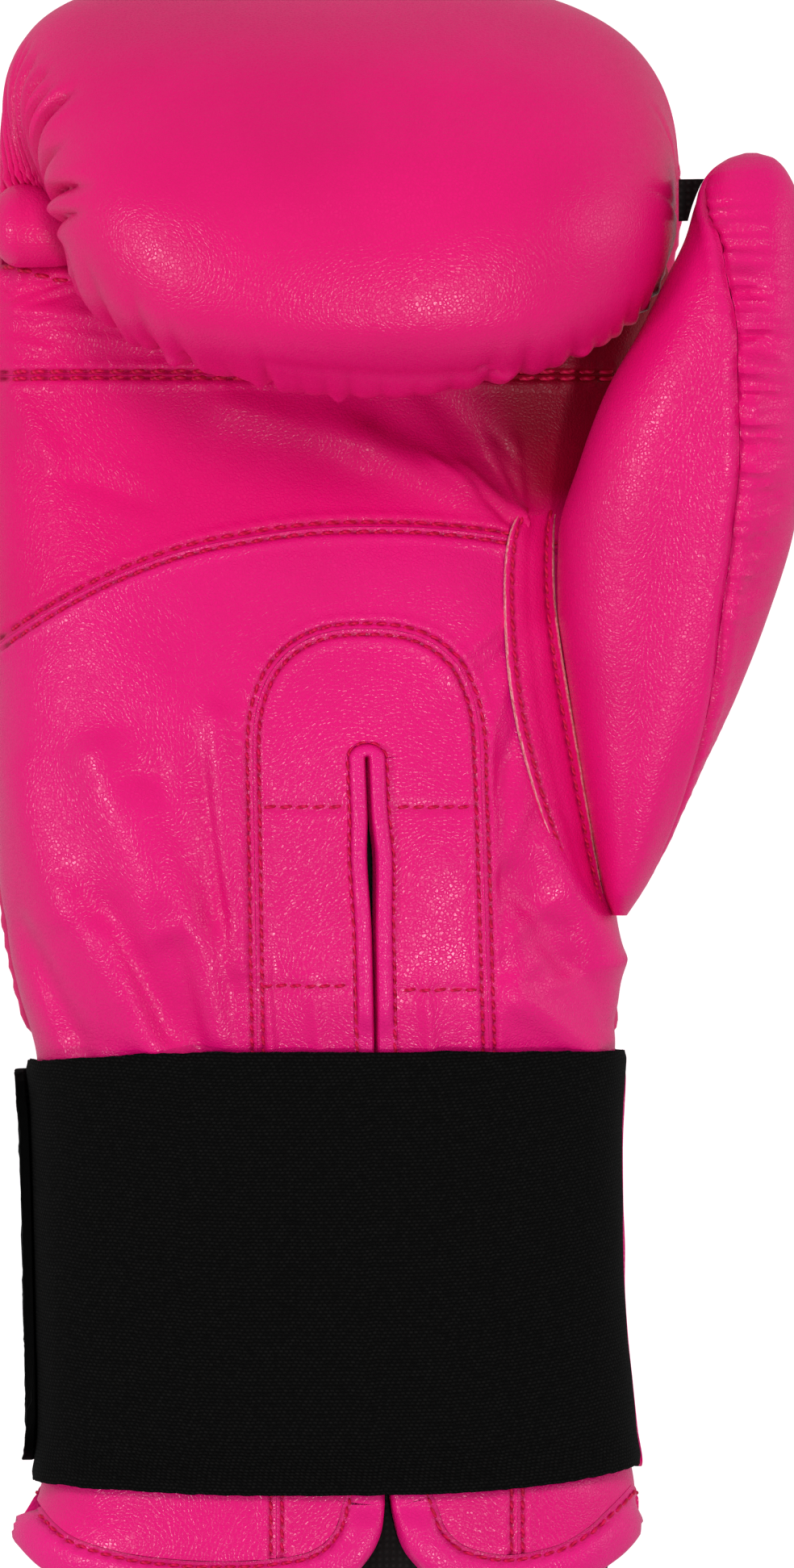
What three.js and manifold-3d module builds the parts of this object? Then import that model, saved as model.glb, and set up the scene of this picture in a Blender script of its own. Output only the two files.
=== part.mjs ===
// A padded kickboxing glove for the right hand, lying on its back with the palm up.
// Millimetres. +Y runs from the cuff to the knuckles, +X is the thumb's side, +Z is up, out of the palm.
// The origin is on the floor under the middle of the glove's box.

import * as THREE from 'three';
import { mergeVertices } from 'three/addons/utils/BufferGeometryUtils.js';
import Module from 'manifold-3d';

const wasm = await Module();
wasm.setup();

// Driving dimensions

const GAP = 0.35; // air between two pieces that are sewn together
const SEAT = 0.45; // air under the thumb where it lies on the body
const LEATHER = 2; // palm leather with its thin foam
const REST_Z = 0; // the floor, where the padding is pressed flat
const PALM_SQUARE = 2.6; // exponent of the palm side's superellipse sections
const BACK_SQUARE = 2.6; // the same for the back

// The glove's body, one row per cross-section from the cuff's hem to the crook of the fingers.
// left and right are its sides, centre the height of its widest line, palm and back its top and bottom,
// pad the padding under the back and side the wall at the widest line.
const BODY = [
  { y: -141, left: -64.5, right: 39.5, centre: 34, palm: 62, back: -0.8, pad: 6, side: 2.6 },
  { y: -131, left: -66.4, right: 41.5, centre: 35, palm: 65, back: -0.8, pad: 7, side: 2.6 },
  { y: -123, left: -62.6, right: 41.6, centre: 35, palm: 65, back: 1.6, pad: 8, side: 2.6 },
  { y: -112, left: -60.8, right: 39.8, centre: 34, palm: 61, back: 4, pad: 8, side: 2.6 },
  { y: -85, left: -61.3, right: 37.6, centre: 33, palm: 59, back: 5, pad: 8, side: 2.6 },
  { y: -60, left: -62, right: 37.3, centre: 33.5, palm: 60.5, back: 4.8, pad: 9, side: 2.8 },
  { y: -47, left: -63, right: 38, centre: 34, palm: 62.5, back: 3.4, pad: 12, side: 3 },
  { y: -36, left: -66.6, right: 38.6, centre: 35, palm: 66, back: 0.8, pad: 16, side: 4 },
  { y: -20, left: -69.2, right: 37.8, centre: 37, palm: 69.5, back: -1.2, pad: 20, side: 5 },
  { y: 5, left: -70.4, right: 36, centre: 40, palm: 71.5, back: -1.6, pad: 23, side: 6 },
  { y: 35, left: -70.8, right: 35.5, centre: 43, palm: 71, back: -1.6, pad: 24, side: 7 },
  { y: 60, left: -70.8, right: 38.5, centre: 47, palm: 69, back: -1.6, pad: 25, side: 7 },
  { y: 78, left: -70.6, right: 43, centre: 51, palm: 68, back: -1.2, pad: 26, side: 7 },
  { y: 90, left: -70.2, right: 47.5, centre: 55, palm: 67, back: -0.4, pad: 26, side: 7 },
  { y: 97, left: -69.8, right: 48.8, centre: 58, palm: 66, back: 0.2, pad: 26, side: 7 },
];

// The fingers' part of the mitt turns round an axis along X. One row per section, phi degrees on from the
// back: reach is how far the crown stands from the axis, pad its padding, tuckLeft and tuckRight how far the
// sides are drawn in at the crook, and squareLeft and squareRight the exponents of the section's two halves.
const AXIS_Y = 97;
const AXIS_Z = 64;
const CROOK_RADIUS = 6;
const FIST = [
  { phi: 0, reach: 63.8, left: -69.8, right: 48.8, pad: 26,
    tuckLeft: 0, tuckRight: 0, squareLeft: 2.6, squareRight: 2.6 },
  { phi: 30, reach: 55.4, left: -69.9, right: 49, pad: 27,
    tuckLeft: 0.5, tuckRight: 0, squareLeft: 2.9, squareRight: 2.6 },
  { phi: 60, reach: 48.2, left: -69.6, right: 49, pad: 27,
    tuckLeft: 2.5, tuckRight: 0.5, squareLeft: 3.6, squareRight: 2.7 },
  { phi: 90, reach: 43.6, left: -68.8, right: 48.9, pad: 25,
    tuckLeft: 6, tuckRight: 0.8, squareLeft: 4, squareRight: 2.8 },
  { phi: 120, reach: 42, left: -67.5, right: 48.7, pad: 22,
    tuckLeft: 9, tuckRight: 1, squareLeft: 3.6, squareRight: 2.9 },
  { phi: 150, reach: 43.6, left: -65.6, right: 48.6, pad: 19,
    tuckLeft: 10, tuckRight: 1, squareLeft: 3, squareRight: 2.9 },
  { phi: 180, reach: 49, left: -63.2, right: 48.5, pad: 18,
    tuckLeft: 9, tuckRight: 0.6, squareLeft: 2.7, squareRight: 2.7 },
  { phi: 200, reach: 50.6, left: -61, right: 47.8, pad: 17,
    tuckLeft: 7, tuckRight: 0.5, squareLeft: 2.4, squareRight: 2.4 },
  { phi: 220, reach: 42.6, left: -58.6, right: 46.4, pad: 13,
    tuckLeft: 4, tuckRight: 0.4, squareLeft: 2.05, squareRight: 2.25 },
  { phi: 236, reach: 33.5, left: -57.2, right: 45.7, pad: 9,
    tuckLeft: 2, tuckRight: 0.2, squareLeft: 1.9, squareRight: 2.2 },
  { phi: 250, reach: 26.5, left: -56, right: 45.2, pad: 6,
    tuckLeft: 0, tuckRight: 0, squareLeft: 1.9, squareRight: 2.3 },
];
const RIM_PHI = 250;
const RIM_PUCKERS = 8; // gathers along the rim of the curl
const PUCKER_DEPTH = 0.9;
const PLEATS = 7; // pleats that run into the crook on the little finger's side
const PLEAT_DEPTH = 1.1;

// The hollow of the palm under the curl of the fingers.
const HOLLOW = { x: -4, y: 68, spreadX: 36, spreadY: 24, depth: 6.5 };
const ROLL = { left: -70.3, right: 45, radius: 5.5, leftEnd: 4, rightEnd: 9 };

// Folds of the palm leather, each a ridge along a line between two points; a negative height is a valley.
const FOLDS = [
  { x0: -41, y0: -4, x1: -29, y1: -46, width: 5, height: 1.6 },
  { x0: -33, y0: 0, x1: -27.5, y1: -46, width: 2.6, height: -1.3 },
  { x0: -50, y0: -22, x1: -36, y1: -47, width: 3.6, height: -1.5 },
  { x0: -57, y0: -20, x1: -43, y1: -47, width: 3.4, height: 1.4 },
  { x0: -63, y0: -30, x1: -52, y1: -48, width: 3.4, height: -1.4 },
  { x0: 17, y0: -6, x1: 19, y1: -36, width: 4, height: 1.2 },
  { x0: 24, y0: -14, x1: 33, y1: -40, width: 3.6, height: -1.2 },
  { x0: -8, y0: 62, x1: 19, y1: 47, width: 4, height: 1.3 },
  { x0: 7, y0: 68, x1: 21, y1: 50, width: 3, height: -1.1 },
];

// Seams of the palm, seen from above.
const FINGER_SEAM_Y = 71.8;
const ROLL_SEAM_Y = 91.3;
const ARC_SEAM = [
  [-78, 18], [-68.9, 25.3], [-59.1, 31.6], [-47.9, 37.2], [-36.7, 41.3], [-26.9, 43.4],
  [-15.7, 44.9], [-1.7, 45.4], [9.5, 44.8], [19.3, 43.4], [32, 40.5], [48, 35],
];
const INSERT = {
  left: -24.9, right: 14.4, foot: -20.9, footRight: 20.9, top: 27.7, shoulder: 6, square: 2.5,
};

// The slit down the heel: its centre line with half its width, and the width of the binding on each side.
const SLIT = [
  { y: 5.4, x: -5.2, half: 0.25, binding: 3.4 },
  { y: -4, x: -4.8, half: 0.3, binding: 3.4 },
  { y: -12, x: -4.4, half: 0.75, binding: 3.3 },
  { y: -26, x: -4, half: 0.3, binding: 3.4 },
  { y: -46, x: -3.6, half: 0.25, binding: 3.5 },
  { y: -100, x: -2.4, half: 0.3, binding: 4.2 },
  { y: -118, x: -1.8, half: 0.4, binding: 6.2 },
  { y: -124, x: -1.4, half: 0.7, binding: 7.2 },
];
// The flap's rounded corner and hem, on from the slit: outer edge points of the left and right flaps.
const LEFT_HEM = [[-2.8, -129], [-5, -133.4], [-9, -137.4], [-16, -140.2], [-30, -141.4], [-46, -140.4],
  [-58, -137.4], [-64.5, -133.4], [-70, -127.5]];
const RIGHT_HEM = [[0.9, -130], [3.4, -134], [8, -137.8], [15, -140], [22, -140.2], [31, -138.2],
  [37.5, -134.6], [41.5, -131.2], [46, -127]];
const HEM_BINDING = 7.6;
const BINDING_PROUD = 0.4;
const INSERT_FLARE_Y = -60; // below this the insert widens to its foot
const INSERT_FOOT_Y = -122;

// The back's hem, which curves up towards the cuff at both sides.
const BACK_HEM = { low: -139.5, high: -132.4, joint: -132, rise: 10.5, proud: 0.7, tuck: 3 };

// The thumb, one row per section from its tip to its root, each in a plane across Y.
// seam is the angle on the section, in degrees, of the gathered seam between its inner panel and its pad.
const THUMB = [
  { y: 109.6, left: 60, right: 62, low: 81, high: 83, seam: 172 },
  { y: 108.6, left: 57, right: 65, low: 77.5, high: 86.5, seam: 172 },
  { y: 106, left: 54, right: 67.2, low: 74, high: 89.5, seam: 168 },
  { y: 101, left: 51.6, right: 69.2, low: 70, high: 91.6, seam: 148 },
  { y: 95, left: 49.8, right: 70.1, low: 67, high: 92.6, seam: 116 },
  { y: 88, left: 46.4, right: 70.6, low: 64.5, high: 93, seam: 97 },
  { y: 79, left: 41.8, right: 70.8, low: 61, high: 92.6, seam: 84 },
  { y: 69, left: 36.2, right: 70.9, low: 57, high: 91, seam: 76 },
  { y: 57, left: 31.6, right: 70.6, low: 52, high: 88, seam: 69 },
  { y: 44, left: 28, right: 68.4, low: 46, high: 84, seam: 64 },
  { y: 30, left: 27.6, right: 64, low: 41.5, high: 79.5, seam: 58 },
  { y: 16, left: 29.4, right: 58.6, low: 38, high: 75, seam: 46 },
  { y: 2, left: 31.8, right: 52.2, low: 35.5, high: 70.5, seam: 32 },
  { y: -10, left: 34.2, right: 46.8, low: 36, high: 65.5, seam: 20 },
  { y: -18, left: 36, right: 42.6, low: 39, high: 60.5, seam: 12 },
  { y: -22, left: 37.6, right: 40, low: 46, high: 54, seam: 8 },
];
const THUMB_SQUARE = 2.3;
const THUMB_TILT = 0.12; // rise of the section towards its outer side
const THUMB_BACK_SEAM = 262; // angle of the seam on its far side
const THUMB_PANEL_WALL = 2.6;
const THUMB_PAD_WALL = 11;
const GATHER_PITCH = 16;
const GATHER_DEPTH = 0.7;
const GATHER_END = 98; // the gathers fade out before this y, towards the tip

// The strip with raw edges that joins the palm to the thumb, seen from above.
const STRIP_LEFT = [[24.4, 52.5], [20.9, 47.6], [18.9, 41.7], [18.5, 30.5], [19.6, 16.5], [22.8, 2.5],
  [27.7, -11.5], [33, -22.7], [36.6, -30]];
const STRIP_RIGHT = [[28.6, 52.5], [27.6, 47], [27.3, 41.7], [27.7, 30.5], [29.8, 16.5], [32.2, 2.5],
  [34.6, -11.5], [36.6, -21.5], [37.6, -27]];
const STRIP = { thick: 1.2, lift: 0.7, arch: 0.9 };

// The wrist: the elastic strap, the hook-and-loop tab on the back and the leather end that holds the strap.
// start and end are angles round the section, top and bottom the y of the edges, corner their rounding.
const STRAP = { thick: 1.5, start: -32, end: 191, top: -45.6, bottom: -122.2 };
const CLOSURE = { thick: 1.6, start: 174, end: 311, top: -49, bottom: -117.5, corner: 8 };
const ANCHOR = { thick: 1.2, start: 315, end: 339, top: -48, bottom: -119, corner: 5 };
const UNDER_STRAP = 0.75;
const BESIDE_STRAP = 0.6;
const TAB = { left: 48.6, top: 105.2, bottom: 98, z: 77, thick: 2 };
const LINING = { thick: 1.2, mouth: -137.5, end: 14 };
// The way for the hand's thumb, from the hand's room through the side of the mitt.
const PASSAGE = [[4, -14, 44], [18, -2, 47], [32, 12, 52], [44, 30, 60], [51, 48, 68]];
const PASSAGE_RADIUS = 9;

const PINK = { color: 0xe01c73, roughness: 0.42, metalness: 0 };
const ELASTIC = { color: 0x0e0e0e, roughness: 0.9, metalness: 0 };
const HOOK_LOOP = { color: 0x121214, roughness: 0.95, metalness: 0 };
const CLOTH = { color: 0x0b0a0a, roughness: 0.95, metalness: 0 };

// How finely the surfaces are divided.
const MITT_WRIST = -44;
const BACK_ROWS = [MITT_WRIST, -34, -18, 6, 34, 58, 76, 88, AXIS_Y];
const FIST_STEPS = 15;
const MITT_STEPS = BACK_ROWS.length - 1 + FIST_STEPS;
const MITT_ACROSS = 24;
const PALM_ACROSS = 14;
const THUMB_STEPS = 18;
const STRIP_STEPS = 14;
const SLIT_ROWS = [5.4, -4, -8, -12, -18, -26, -46, -80, -108, -118, -124];

// Tables, curves and superellipses

// Value of a table's column at a key, by a monotone cubic through the rows.
function column(rows, key, at, name) {
  const step = rows.length - 1;
  const rising = rows[step][key] > rows[0][key];
  const k = rows.map((row) => (rising ? row[key] : -row[key]));
  const v = rows.map((row) => row[name]);
  const x = Math.min(Math.max(rising ? at : -at, k[0]), k[step]);
  let i = 0;
  while (i < step - 1 && x > k[i + 1]) i += 1;
  const slope = (j) => (v[j + 1] - v[j]) / (k[j + 1] - k[j]);
  const tangent = (j) => {
    if (j === 0) return slope(0);
    if (j === step) return slope(step - 1);
    const before = slope(j - 1);
    const after = slope(j);
    return before * after <= 0 ? 0 : (2 * before * after) / (before + after);
  };
  const h = k[i + 1] - k[i];
  const t = (x - k[i]) / h;
  return (2 * t ** 3 - 3 * t ** 2 + 1) * v[i] + (t ** 3 - 2 * t ** 2 + t) * h * tangent(i)
    + (3 * t ** 2 - 2 * t ** 3) * v[i + 1] + (t ** 3 - t ** 2) * h * tangent(i + 1);
}

const radians = (degrees) => (degrees * Math.PI) / 180;
const mix = (a, b, t) => a + (b - a) * t;
const bump = (t) => Math.exp(-t * t);

// Cosine or sine raised so that the curve is a superellipse of that exponent.
const squared = (value, exponent) => Math.sign(value) * Math.abs(value) ** (2 / exponent);

function curvePoints(points, count) {
  const curve = new THREE.SplineCurve(points.map(([x, y]) => new THREE.Vector2(x, y)));
  return curve.getPoints(count).map((p) => [p.x, p.y]);
}

// Closed solids

const solidOf = (vertProperties, triVerts) => {
  const solid = new wasm.Manifold(new wasm.Mesh({ numProp: 3, vertProperties, triVerts }));
  return solid.volume() < 0 ? null : solid;
};

function solidFromRows(points, triangles) {
  const vertices = new Float32Array(points.flat());
  const right = solidOf(vertices, new Uint32Array(triangles));
  if (right) return right;
  const turned = [];
  for (let i = 0; i < triangles.length; i += 3) turned.push(triangles[i], triangles[i + 2], triangles[i + 1]);
  return solidOf(vertices, new Uint32Array(turned));
}

// A wall between an outer and an inner surface, each a function of u and v from 0 to 1.
// round joins its edge at v = 1 to that at v = 0.
function wall(outer, inner, stepsU, stepsV, round = false) {
  const across = round ? stepsV : stepsV + 1;
  const points = [];
  for (const surface of [outer, inner]) {
    for (let i = 0; i <= stepsU; i += 1) {
      for (let j = 0; j < across; j += 1) points.push(surface(i / stepsU, j / stepsV));
    }
  }
  const layer = (stepsU + 1) * across;
  const at = (side, i, j) => side * layer + i * across + (j % across);
  const triangles = [];
  const quad = (a, b, c, d) => triangles.push(a, b, c, a, c, d);
  for (let i = 0; i < stepsU; i += 1) {
    for (let j = 0; j < stepsV; j += 1) {
      quad(at(0, i, j), at(0, i + 1, j), at(0, i + 1, j + 1), at(0, i, j + 1));
      quad(at(1, i, j), at(1, i, j + 1), at(1, i + 1, j + 1), at(1, i + 1, j));
    }
    if (!round) {
      quad(at(0, i, 0), at(1, i, 0), at(1, i + 1, 0), at(0, i + 1, 0));
      quad(at(0, i, stepsV), at(0, i + 1, stepsV), at(1, i + 1, stepsV), at(1, i, stepsV));
    }
  }
  for (let j = 0; j < stepsV; j += 1) {
    quad(at(0, 0, j), at(0, 0, j + 1), at(1, 0, j + 1), at(1, 0, j));
    quad(at(0, stepsU, j), at(1, stepsU, j), at(1, stepsU, j + 1), at(0, stepsU, j + 1));
  }
  return solidFromRows(points, triangles);
}

// A solid bounded by a surface that is round in v, its two ends closed by fans.
function plug(surface, stepsU, stepsV) {
  const points = [];
  for (let i = 0; i <= stepsU; i += 1) {
    for (let j = 0; j < stepsV; j += 1) points.push(surface(i / stepsU, j / stepsV));
  }
  const triangles = [];
  const at = (i, j) => i * stepsV + (j % stepsV);
  for (let i = 0; i < stepsU; i += 1) {
    for (let j = 0; j < stepsV; j += 1) {
      triangles.push(at(i, j), at(i + 1, j), at(i + 1, j + 1), at(i, j), at(i + 1, j + 1), at(i, j + 1));
    }
  }
  for (const i of [0, stepsU]) {
    const middle = points.length;
    const ring = points.slice(i * stepsV, (i + 1) * stepsV);
    points.push([0, 1, 2].map((k) => ring.reduce((sum, p) => sum + p[k], 0) / stepsV));
    for (let j = 0; j < stepsV; j += 1) {
      if (i === 0) triangles.push(middle, at(i, j), at(i, j + 1));
      else triangles.push(middle, at(i, j + 1), at(i, j));
    }
  }
  return solidFromRows(points, triangles);
}

// An upright prism over an outline seen from above.
function prism(outline) {
  const shape = new THREE.Shape(outline.map(([x, y]) => new THREE.Vector2(x, y)));
  const geometry = new THREE.ExtrudeGeometry(shape, { depth: 2 * AXIS_Z, bevelEnabled: false });
  geometry.deleteAttribute('normal');
  geometry.deleteAttribute('uv');
  const merged = mergeVertices(geometry, 1e-4);
  return solidOf(merged.attributes.position.array, new Uint32Array(merged.index.array));
}

// The body's sections

// A point of the body at y and angle, 0 on the thumb's side, 90 on the palm, with insets taken off each way.
function bodyPoint(y, angle, insetSide, insetPalm, insetBack) {
  const get = (name) => column(BODY, 'y', y, name);
  const cosine = Math.cos(radians(angle));
  const sine = Math.sin(radians(angle));
  const middle = (get('left') + get('right')) / 2;
  const half = (get('right') - get('left')) / 2 - insetSide;
  const exponent = sine > 0 ? PALM_SQUARE : BACK_SQUARE;
  const rise = sine > 0 ? get('palm') - get('centre') - insetPalm : get('centre') - get('back') - insetBack;
  const x = middle + half * squared(cosine, exponent);
  let z = get('centre') + rise * squared(sine, exponent);
  if (sine > 0) z += palmRelief(x, y) * Math.min(1, sine * 2);
  return [x, y, z];
}

// The palm's hollow and folds as a height to add.
function palmRelief(x, y) {
  const { spreadX, spreadY, depth } = HOLLOW;
  let height = -depth * bump((x - HOLLOW.x) / spreadX) * bump((y - HOLLOW.y) / spreadY);
  for (const fold of FOLDS) {
    const dx = fold.x1 - fold.x0;
    const dy = fold.y1 - fold.y0;
    const length = Math.hypot(dx, dy);
    const along = ((x - fold.x0) * dx + (y - fold.y0) * dy) / length;
    const across = ((x - fold.x0) * dy - (y - fold.y0) * dx) / length;
    const past = Math.max(0, -along, along - length);
    height += fold.height * bump(across / fold.width) * bump(past / 6);
  }
  return height * Math.min(Math.max((y - STRAP.top + 1.4) / 4, 0), 1);
}

// The same for the padded back, whose edges stop just short of the palm's.
function backPoint(y, angle, insetSide, insetBack) {
  const [x, , z] = bodyPoint(y, angle, insetSide, 0, insetBack);
  return [x, y, Math.min(z, column(BODY, 'y', y, 'centre') - GAP)];
}

// The floor presses the back flat.
const rested = ([x, y, z]) => [x, y, Math.max(z, REST_Z)];

// The whole body as one solid, grown outwards, used to seat what lies against it.
function bodySolid(grow) {
  return plug((u, v) => bodyPoint(mix(-60, 97, u), v * 360, -grow, -grow, -grow), 20, 32);
}

// A layer of the palm side between two y values; rise lifts it off the body's surface.
function palmLayer({ low, high, rise = () => 0, thick = LEATHER, steps }) {
  const place = (u, v, depth) => {
    const y = mix(low, high, u);
    const inset = depth - rise(y);
    return bodyPoint(y, mix(0, 180, v), inset, inset, 0);
  };
  return wall((u, v) => place(u, v, 0), (u, v) => place(u, v, thick), steps, PALM_ACROSS);
}

// The mitt: a thick trough along the back of the hand that turns over the fingers

function fistPoint(phi, s, depth) {
  const get = (name) => column(FIST, 'phi', phi, name);
  const cosine = Math.cos(s);
  const sine = Math.sin(s);
  const exponent = get(cosine < 0 ? 'squareLeft' : 'squareRight');
  const crown = squared(sine, exponent);
  const left = get('left');
  const right = get('right');
  const middle = (left + right) / 2;
  const half = (right - left) / 2;
  const tuck = get(cosine < 0 ? 'tuckLeft' : 'tuckRight') * (1 - crown) ** 2;
  const rim = bump((phi - 236) / 16) * crown;
  const pucker = PUCKER_DEPTH * rim * Math.sin(s * RIM_PUCKERS) ** 2;
  const leftEnd = cosine < 0 ? bump(crown / 0.5) : 0;
  const pleat = PLEAT_DEPTH * leftEnd * bump((phi - 110) / 55) * Math.sin(radians(phi) * PLEATS);
  const inner = half - depth.side;
  const drawn = Math.sign(cosine) * tuck * (inner / half);
  const x = middle + inner * squared(cosine, exponent) - drawn + pleat;
  const reach = CROOK_RADIUS + (get('reach') - depth.crown - CROOK_RADIUS) * crown - pucker;
  const turn = radians(phi);
  return [x, AXIS_Y + reach * Math.sin(turn), AXIS_Z - reach * Math.cos(turn)];
}

function mittPoint(u, v, inside) {
  const row = Math.round(u * MITT_STEPS);
  if (row < BACK_ROWS.length - 1) {
    const y = BACK_ROWS[row];
    const pad = column(BODY, 'y', y, 'pad');
    const side = column(BODY, 'y', y, 'side');
    return backPoint(y, mix(180, 360, v), inside * side, inside * pad);
  }
  const phi = (RIM_PHI * (row - BACK_ROWS.length + 1)) / FIST_STEPS;
  const pad = column(FIST, 'phi', phi, 'pad');
  const side = mix(column(BODY, 'y', AXIS_Y, 'side'), 4, phi / RIM_PHI);
  return fistPoint(phi, Math.PI * (1 - v), { crown: inside * pad, side: inside * side });
}

function mittShell() {
  const outer = (u, v) => rested(mittPoint(u, v, 0));
  return wall(outer, (u, v) => mittPoint(u, v, 1), MITT_STEPS, MITT_ACROSS);
}

// The leather that closes the underside of the curl, from the crook to the rim.
function curlLining() {
  const place = (phi) => (u, v) => {
    const s = Math.PI * (1 - mix(0.03, 0.97, v));
    const rim = fistPoint(RIM_PHI, s, { crown: 1, side: 1.5 });
    const reach = mix(CROOK_RADIUS + 0.5, Math.hypot(rim[1] - AXIS_Y, rim[2] - AXIS_Z), mix(0.02, 1, u));
    const turn = radians(phi);
    return [rim[0], AXIS_Y + reach * Math.sin(turn), AXIS_Z - reach * Math.cos(turn)];
  };
  return wall(place(RIM_PHI + 1.2), place(RIM_PHI + 5.5), 2, 18);
}

// The padded roll in the crook of the fingers that the hand grips.
function gripRoll() {
  return plug((u, v) => {
    const x = mix(ROLL.left, ROLL.right, (1 - Math.cos(u * Math.PI)) / 2);
    const end = Math.min((x - ROLL.left) / ROLL.leftEnd, (ROLL.right - x) / ROLL.rightEnd, 1);
    const size = ROLL.radius * mix(0.35, 1, Math.sqrt(1 - (1 - end) ** 2));
    const turn = radians(v * 360);
    return [x, AXIS_Y + size * Math.cos(turn), AXIS_Z + size * Math.sin(turn)];
  }, 12, 12);
}

// Outlines on the palm, seen from above

const slitAt = (y, name) => column(SLIT, 'y', y, name);

// A flap's edge from the top of the slit down to the hem and out to the side; side is -1 for the left flap.
function flapEdge(side, out) {
  const hem = side < 0 ? LEFT_HEM : RIGHT_HEM;
  const slit = SLIT_ROWS.map((y) => [slitAt(y, 'x') + side * slitAt(y, 'half'), y]);
  const edge = [...slit, ...curvePoints([slit[slit.length - 1], ...hem], 9).slice(1)];
  return edge.map((p, i) => {
    const a = edge[Math.max(i - 1, 0)];
    const b = edge[Math.min(i + 1, edge.length - 1)];
    const length = Math.hypot(b[0] - a[0], b[1] - a[1]);
    const normal = [(-side * (b[1] - a[1])) / length, (side * (b[0] - a[0])) / length];
    const width = (i < slit.length ? slitAt(p[1], 'binding') : HEM_BINDING) + out;
    return { edge: p, inner: [p[0] + normal[0] * width, p[1] + normal[1] * width] };
  });
}

// The binding's outline for one flap, its width grown by out.
function bindingOutline(side, out) {
  const rows = flapEdge(side, out);
  return [...rows.map((row) => row.edge), ...rows.map((row) => row.inner).reverse()];
}

// The whole bound band: both sides of the slit, joined round its top.
function bandSolid(out) {
  const top = SLIT[0];
  const turn = [];
  const radius = top.half + top.binding + out;
  for (let i = 0; i <= 8; i += 1) {
    const angle = radians(22.5 * i);
    turn.push([top.x + radius * Math.cos(angle), top.y - 0.2 + (radius - 0.6) * Math.sin(angle)]);
  }
  return prism(bindingOutline(-1, out)).add(prism(bindingOutline(1, out))).add(prism(turn));
}

// What lies beyond the flaps: the slit itself, the notch between the flaps and all past the hem.
function beyondFlaps() {
  const left = flapEdge(-1, 0).map((row) => row.edge);
  const right = flapEdge(1, 0).map((row) => row.edge);
  return prism([...left.slice().reverse(), ...right, [90, -120], [90, -170], [-110, -170], [-110, -120]]);
}

// The tongue-shaped insert round the slit: straight sides that flare at the wrist, under a rounded top.
function insertOutline(grow) {
  const { left, right, foot, footRight, top, shoulder, square } = INSERT;
  const middle = (left + right) / 2;
  const half = (right - left) / 2 + grow;
  const points = [[footRight + grow, -150], [footRight + grow, INSERT_FOOT_Y],
    [right + grow + 2, INSERT_FLARE_Y]];
  for (let i = 0; i <= 12; i += 1) {
    const angle = radians(15 * i);
    points.push([middle + half * squared(Math.cos(angle), square),
      shoulder + (top + grow - shoulder) * squared(Math.sin(angle), square)]);
  }
  points.push([left - grow + 1, INSERT_FLARE_Y], [foot - grow, INSERT_FOOT_Y], [foot - grow, -150]);
  return points;
}

// Everything on the fingers' side of the arc seam.
function arcOutline(shift) {
  const arc = curvePoints(ARC_SEAM, 13).map(([x, y]) => [x, y + shift]);
  return [...arc, [90, 35], [90, 160], [-110, 160], [-110, 10]];
}

// The thumb's sections

// A point of the thumb at y and angle, 0 on its outer side, 90 on top; the walls are taken off each way.
function thumbPoint(y, angle, wallLeft, wallRight) {
  const get = (name) => column(THUMB, 'y', y, name);
  const cosine = Math.cos(radians(angle));
  const sine = Math.sin(radians(angle));
  const middle = (get('left') + get('right')) / 2;
  const half = (get('right') - get('left')) / 2;
  const height = (get('high') - get('low')) / 2;
  const away = Math.max(0, cosine);
  const thick = mix(wallLeft, wallRight, away);
  const shrink = Math.max(0.12, 1 - thick / Math.min(half, height));
  const x = middle + half * shrink * squared(cosine, THUMB_SQUARE);
  const z = (get('low') + get('high')) / 2 + height * shrink * squared(sine, THUMB_SQUARE);
  return [x, y, z + THUMB_TILT * (x - middle)];
}

const THUMB_TIP = THUMB[0].y;
const THUMB_ROOT = THUMB[THUMB.length - 1].y;
const thumbY = (u) => mix(THUMB_TIP, THUMB_ROOT, (1 - Math.cos(mix(0.03, 0.97, u) * Math.PI)) / 2);

// A wall of the thumb between two angles, gathered along its second edge by up to depth.
function thumbWall(from, to, wallRight, depth, across) {
  const outer = (u, v) => {
    const y = thumbY(u);
    const [x, , z] = thumbPoint(y, mix(from(y), to(y), v), 0, 0);
    const fade = Math.min(Math.max((GATHER_END - y) / 8, 0), 1);
    const gather = depth * fade * bump((1 - v) * 2.6) * Math.sin((Math.PI * y) / GATHER_PITCH) ** 2;
    return [x, y, z - gather];
  };
  const inner = (u, v) => {
    const y = thumbY(u);
    return thumbPoint(y, mix(from(y), to(y), v), THUMB_PANEL_WALL, wallRight);
  };
  return wall(outer, inner, THUMB_STEPS, across);
}

const seamAt = (y) => column(THUMB, 'y', y, 'seam');

function passage() {
  const curve = new THREE.CatmullRomCurve3(PASSAGE.map((p) => new THREE.Vector3(...p)));
  return plug((u, v) => {
    const p = curve.getPoint(u);
    const along = curve.getTangent(u);
    const side = new THREE.Vector3(0, 0, 1).cross(along).normalize();
    const up = along.clone().cross(side);
    const turn = radians(v * 360);
    p.addScaledVector(side, PASSAGE_RADIUS * Math.cos(turn));
    p.addScaledVector(up, PASSAGE_RADIUS * Math.sin(turn));
    return [p.x, p.y, p.z];
  }, 8, 12);
}

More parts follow.
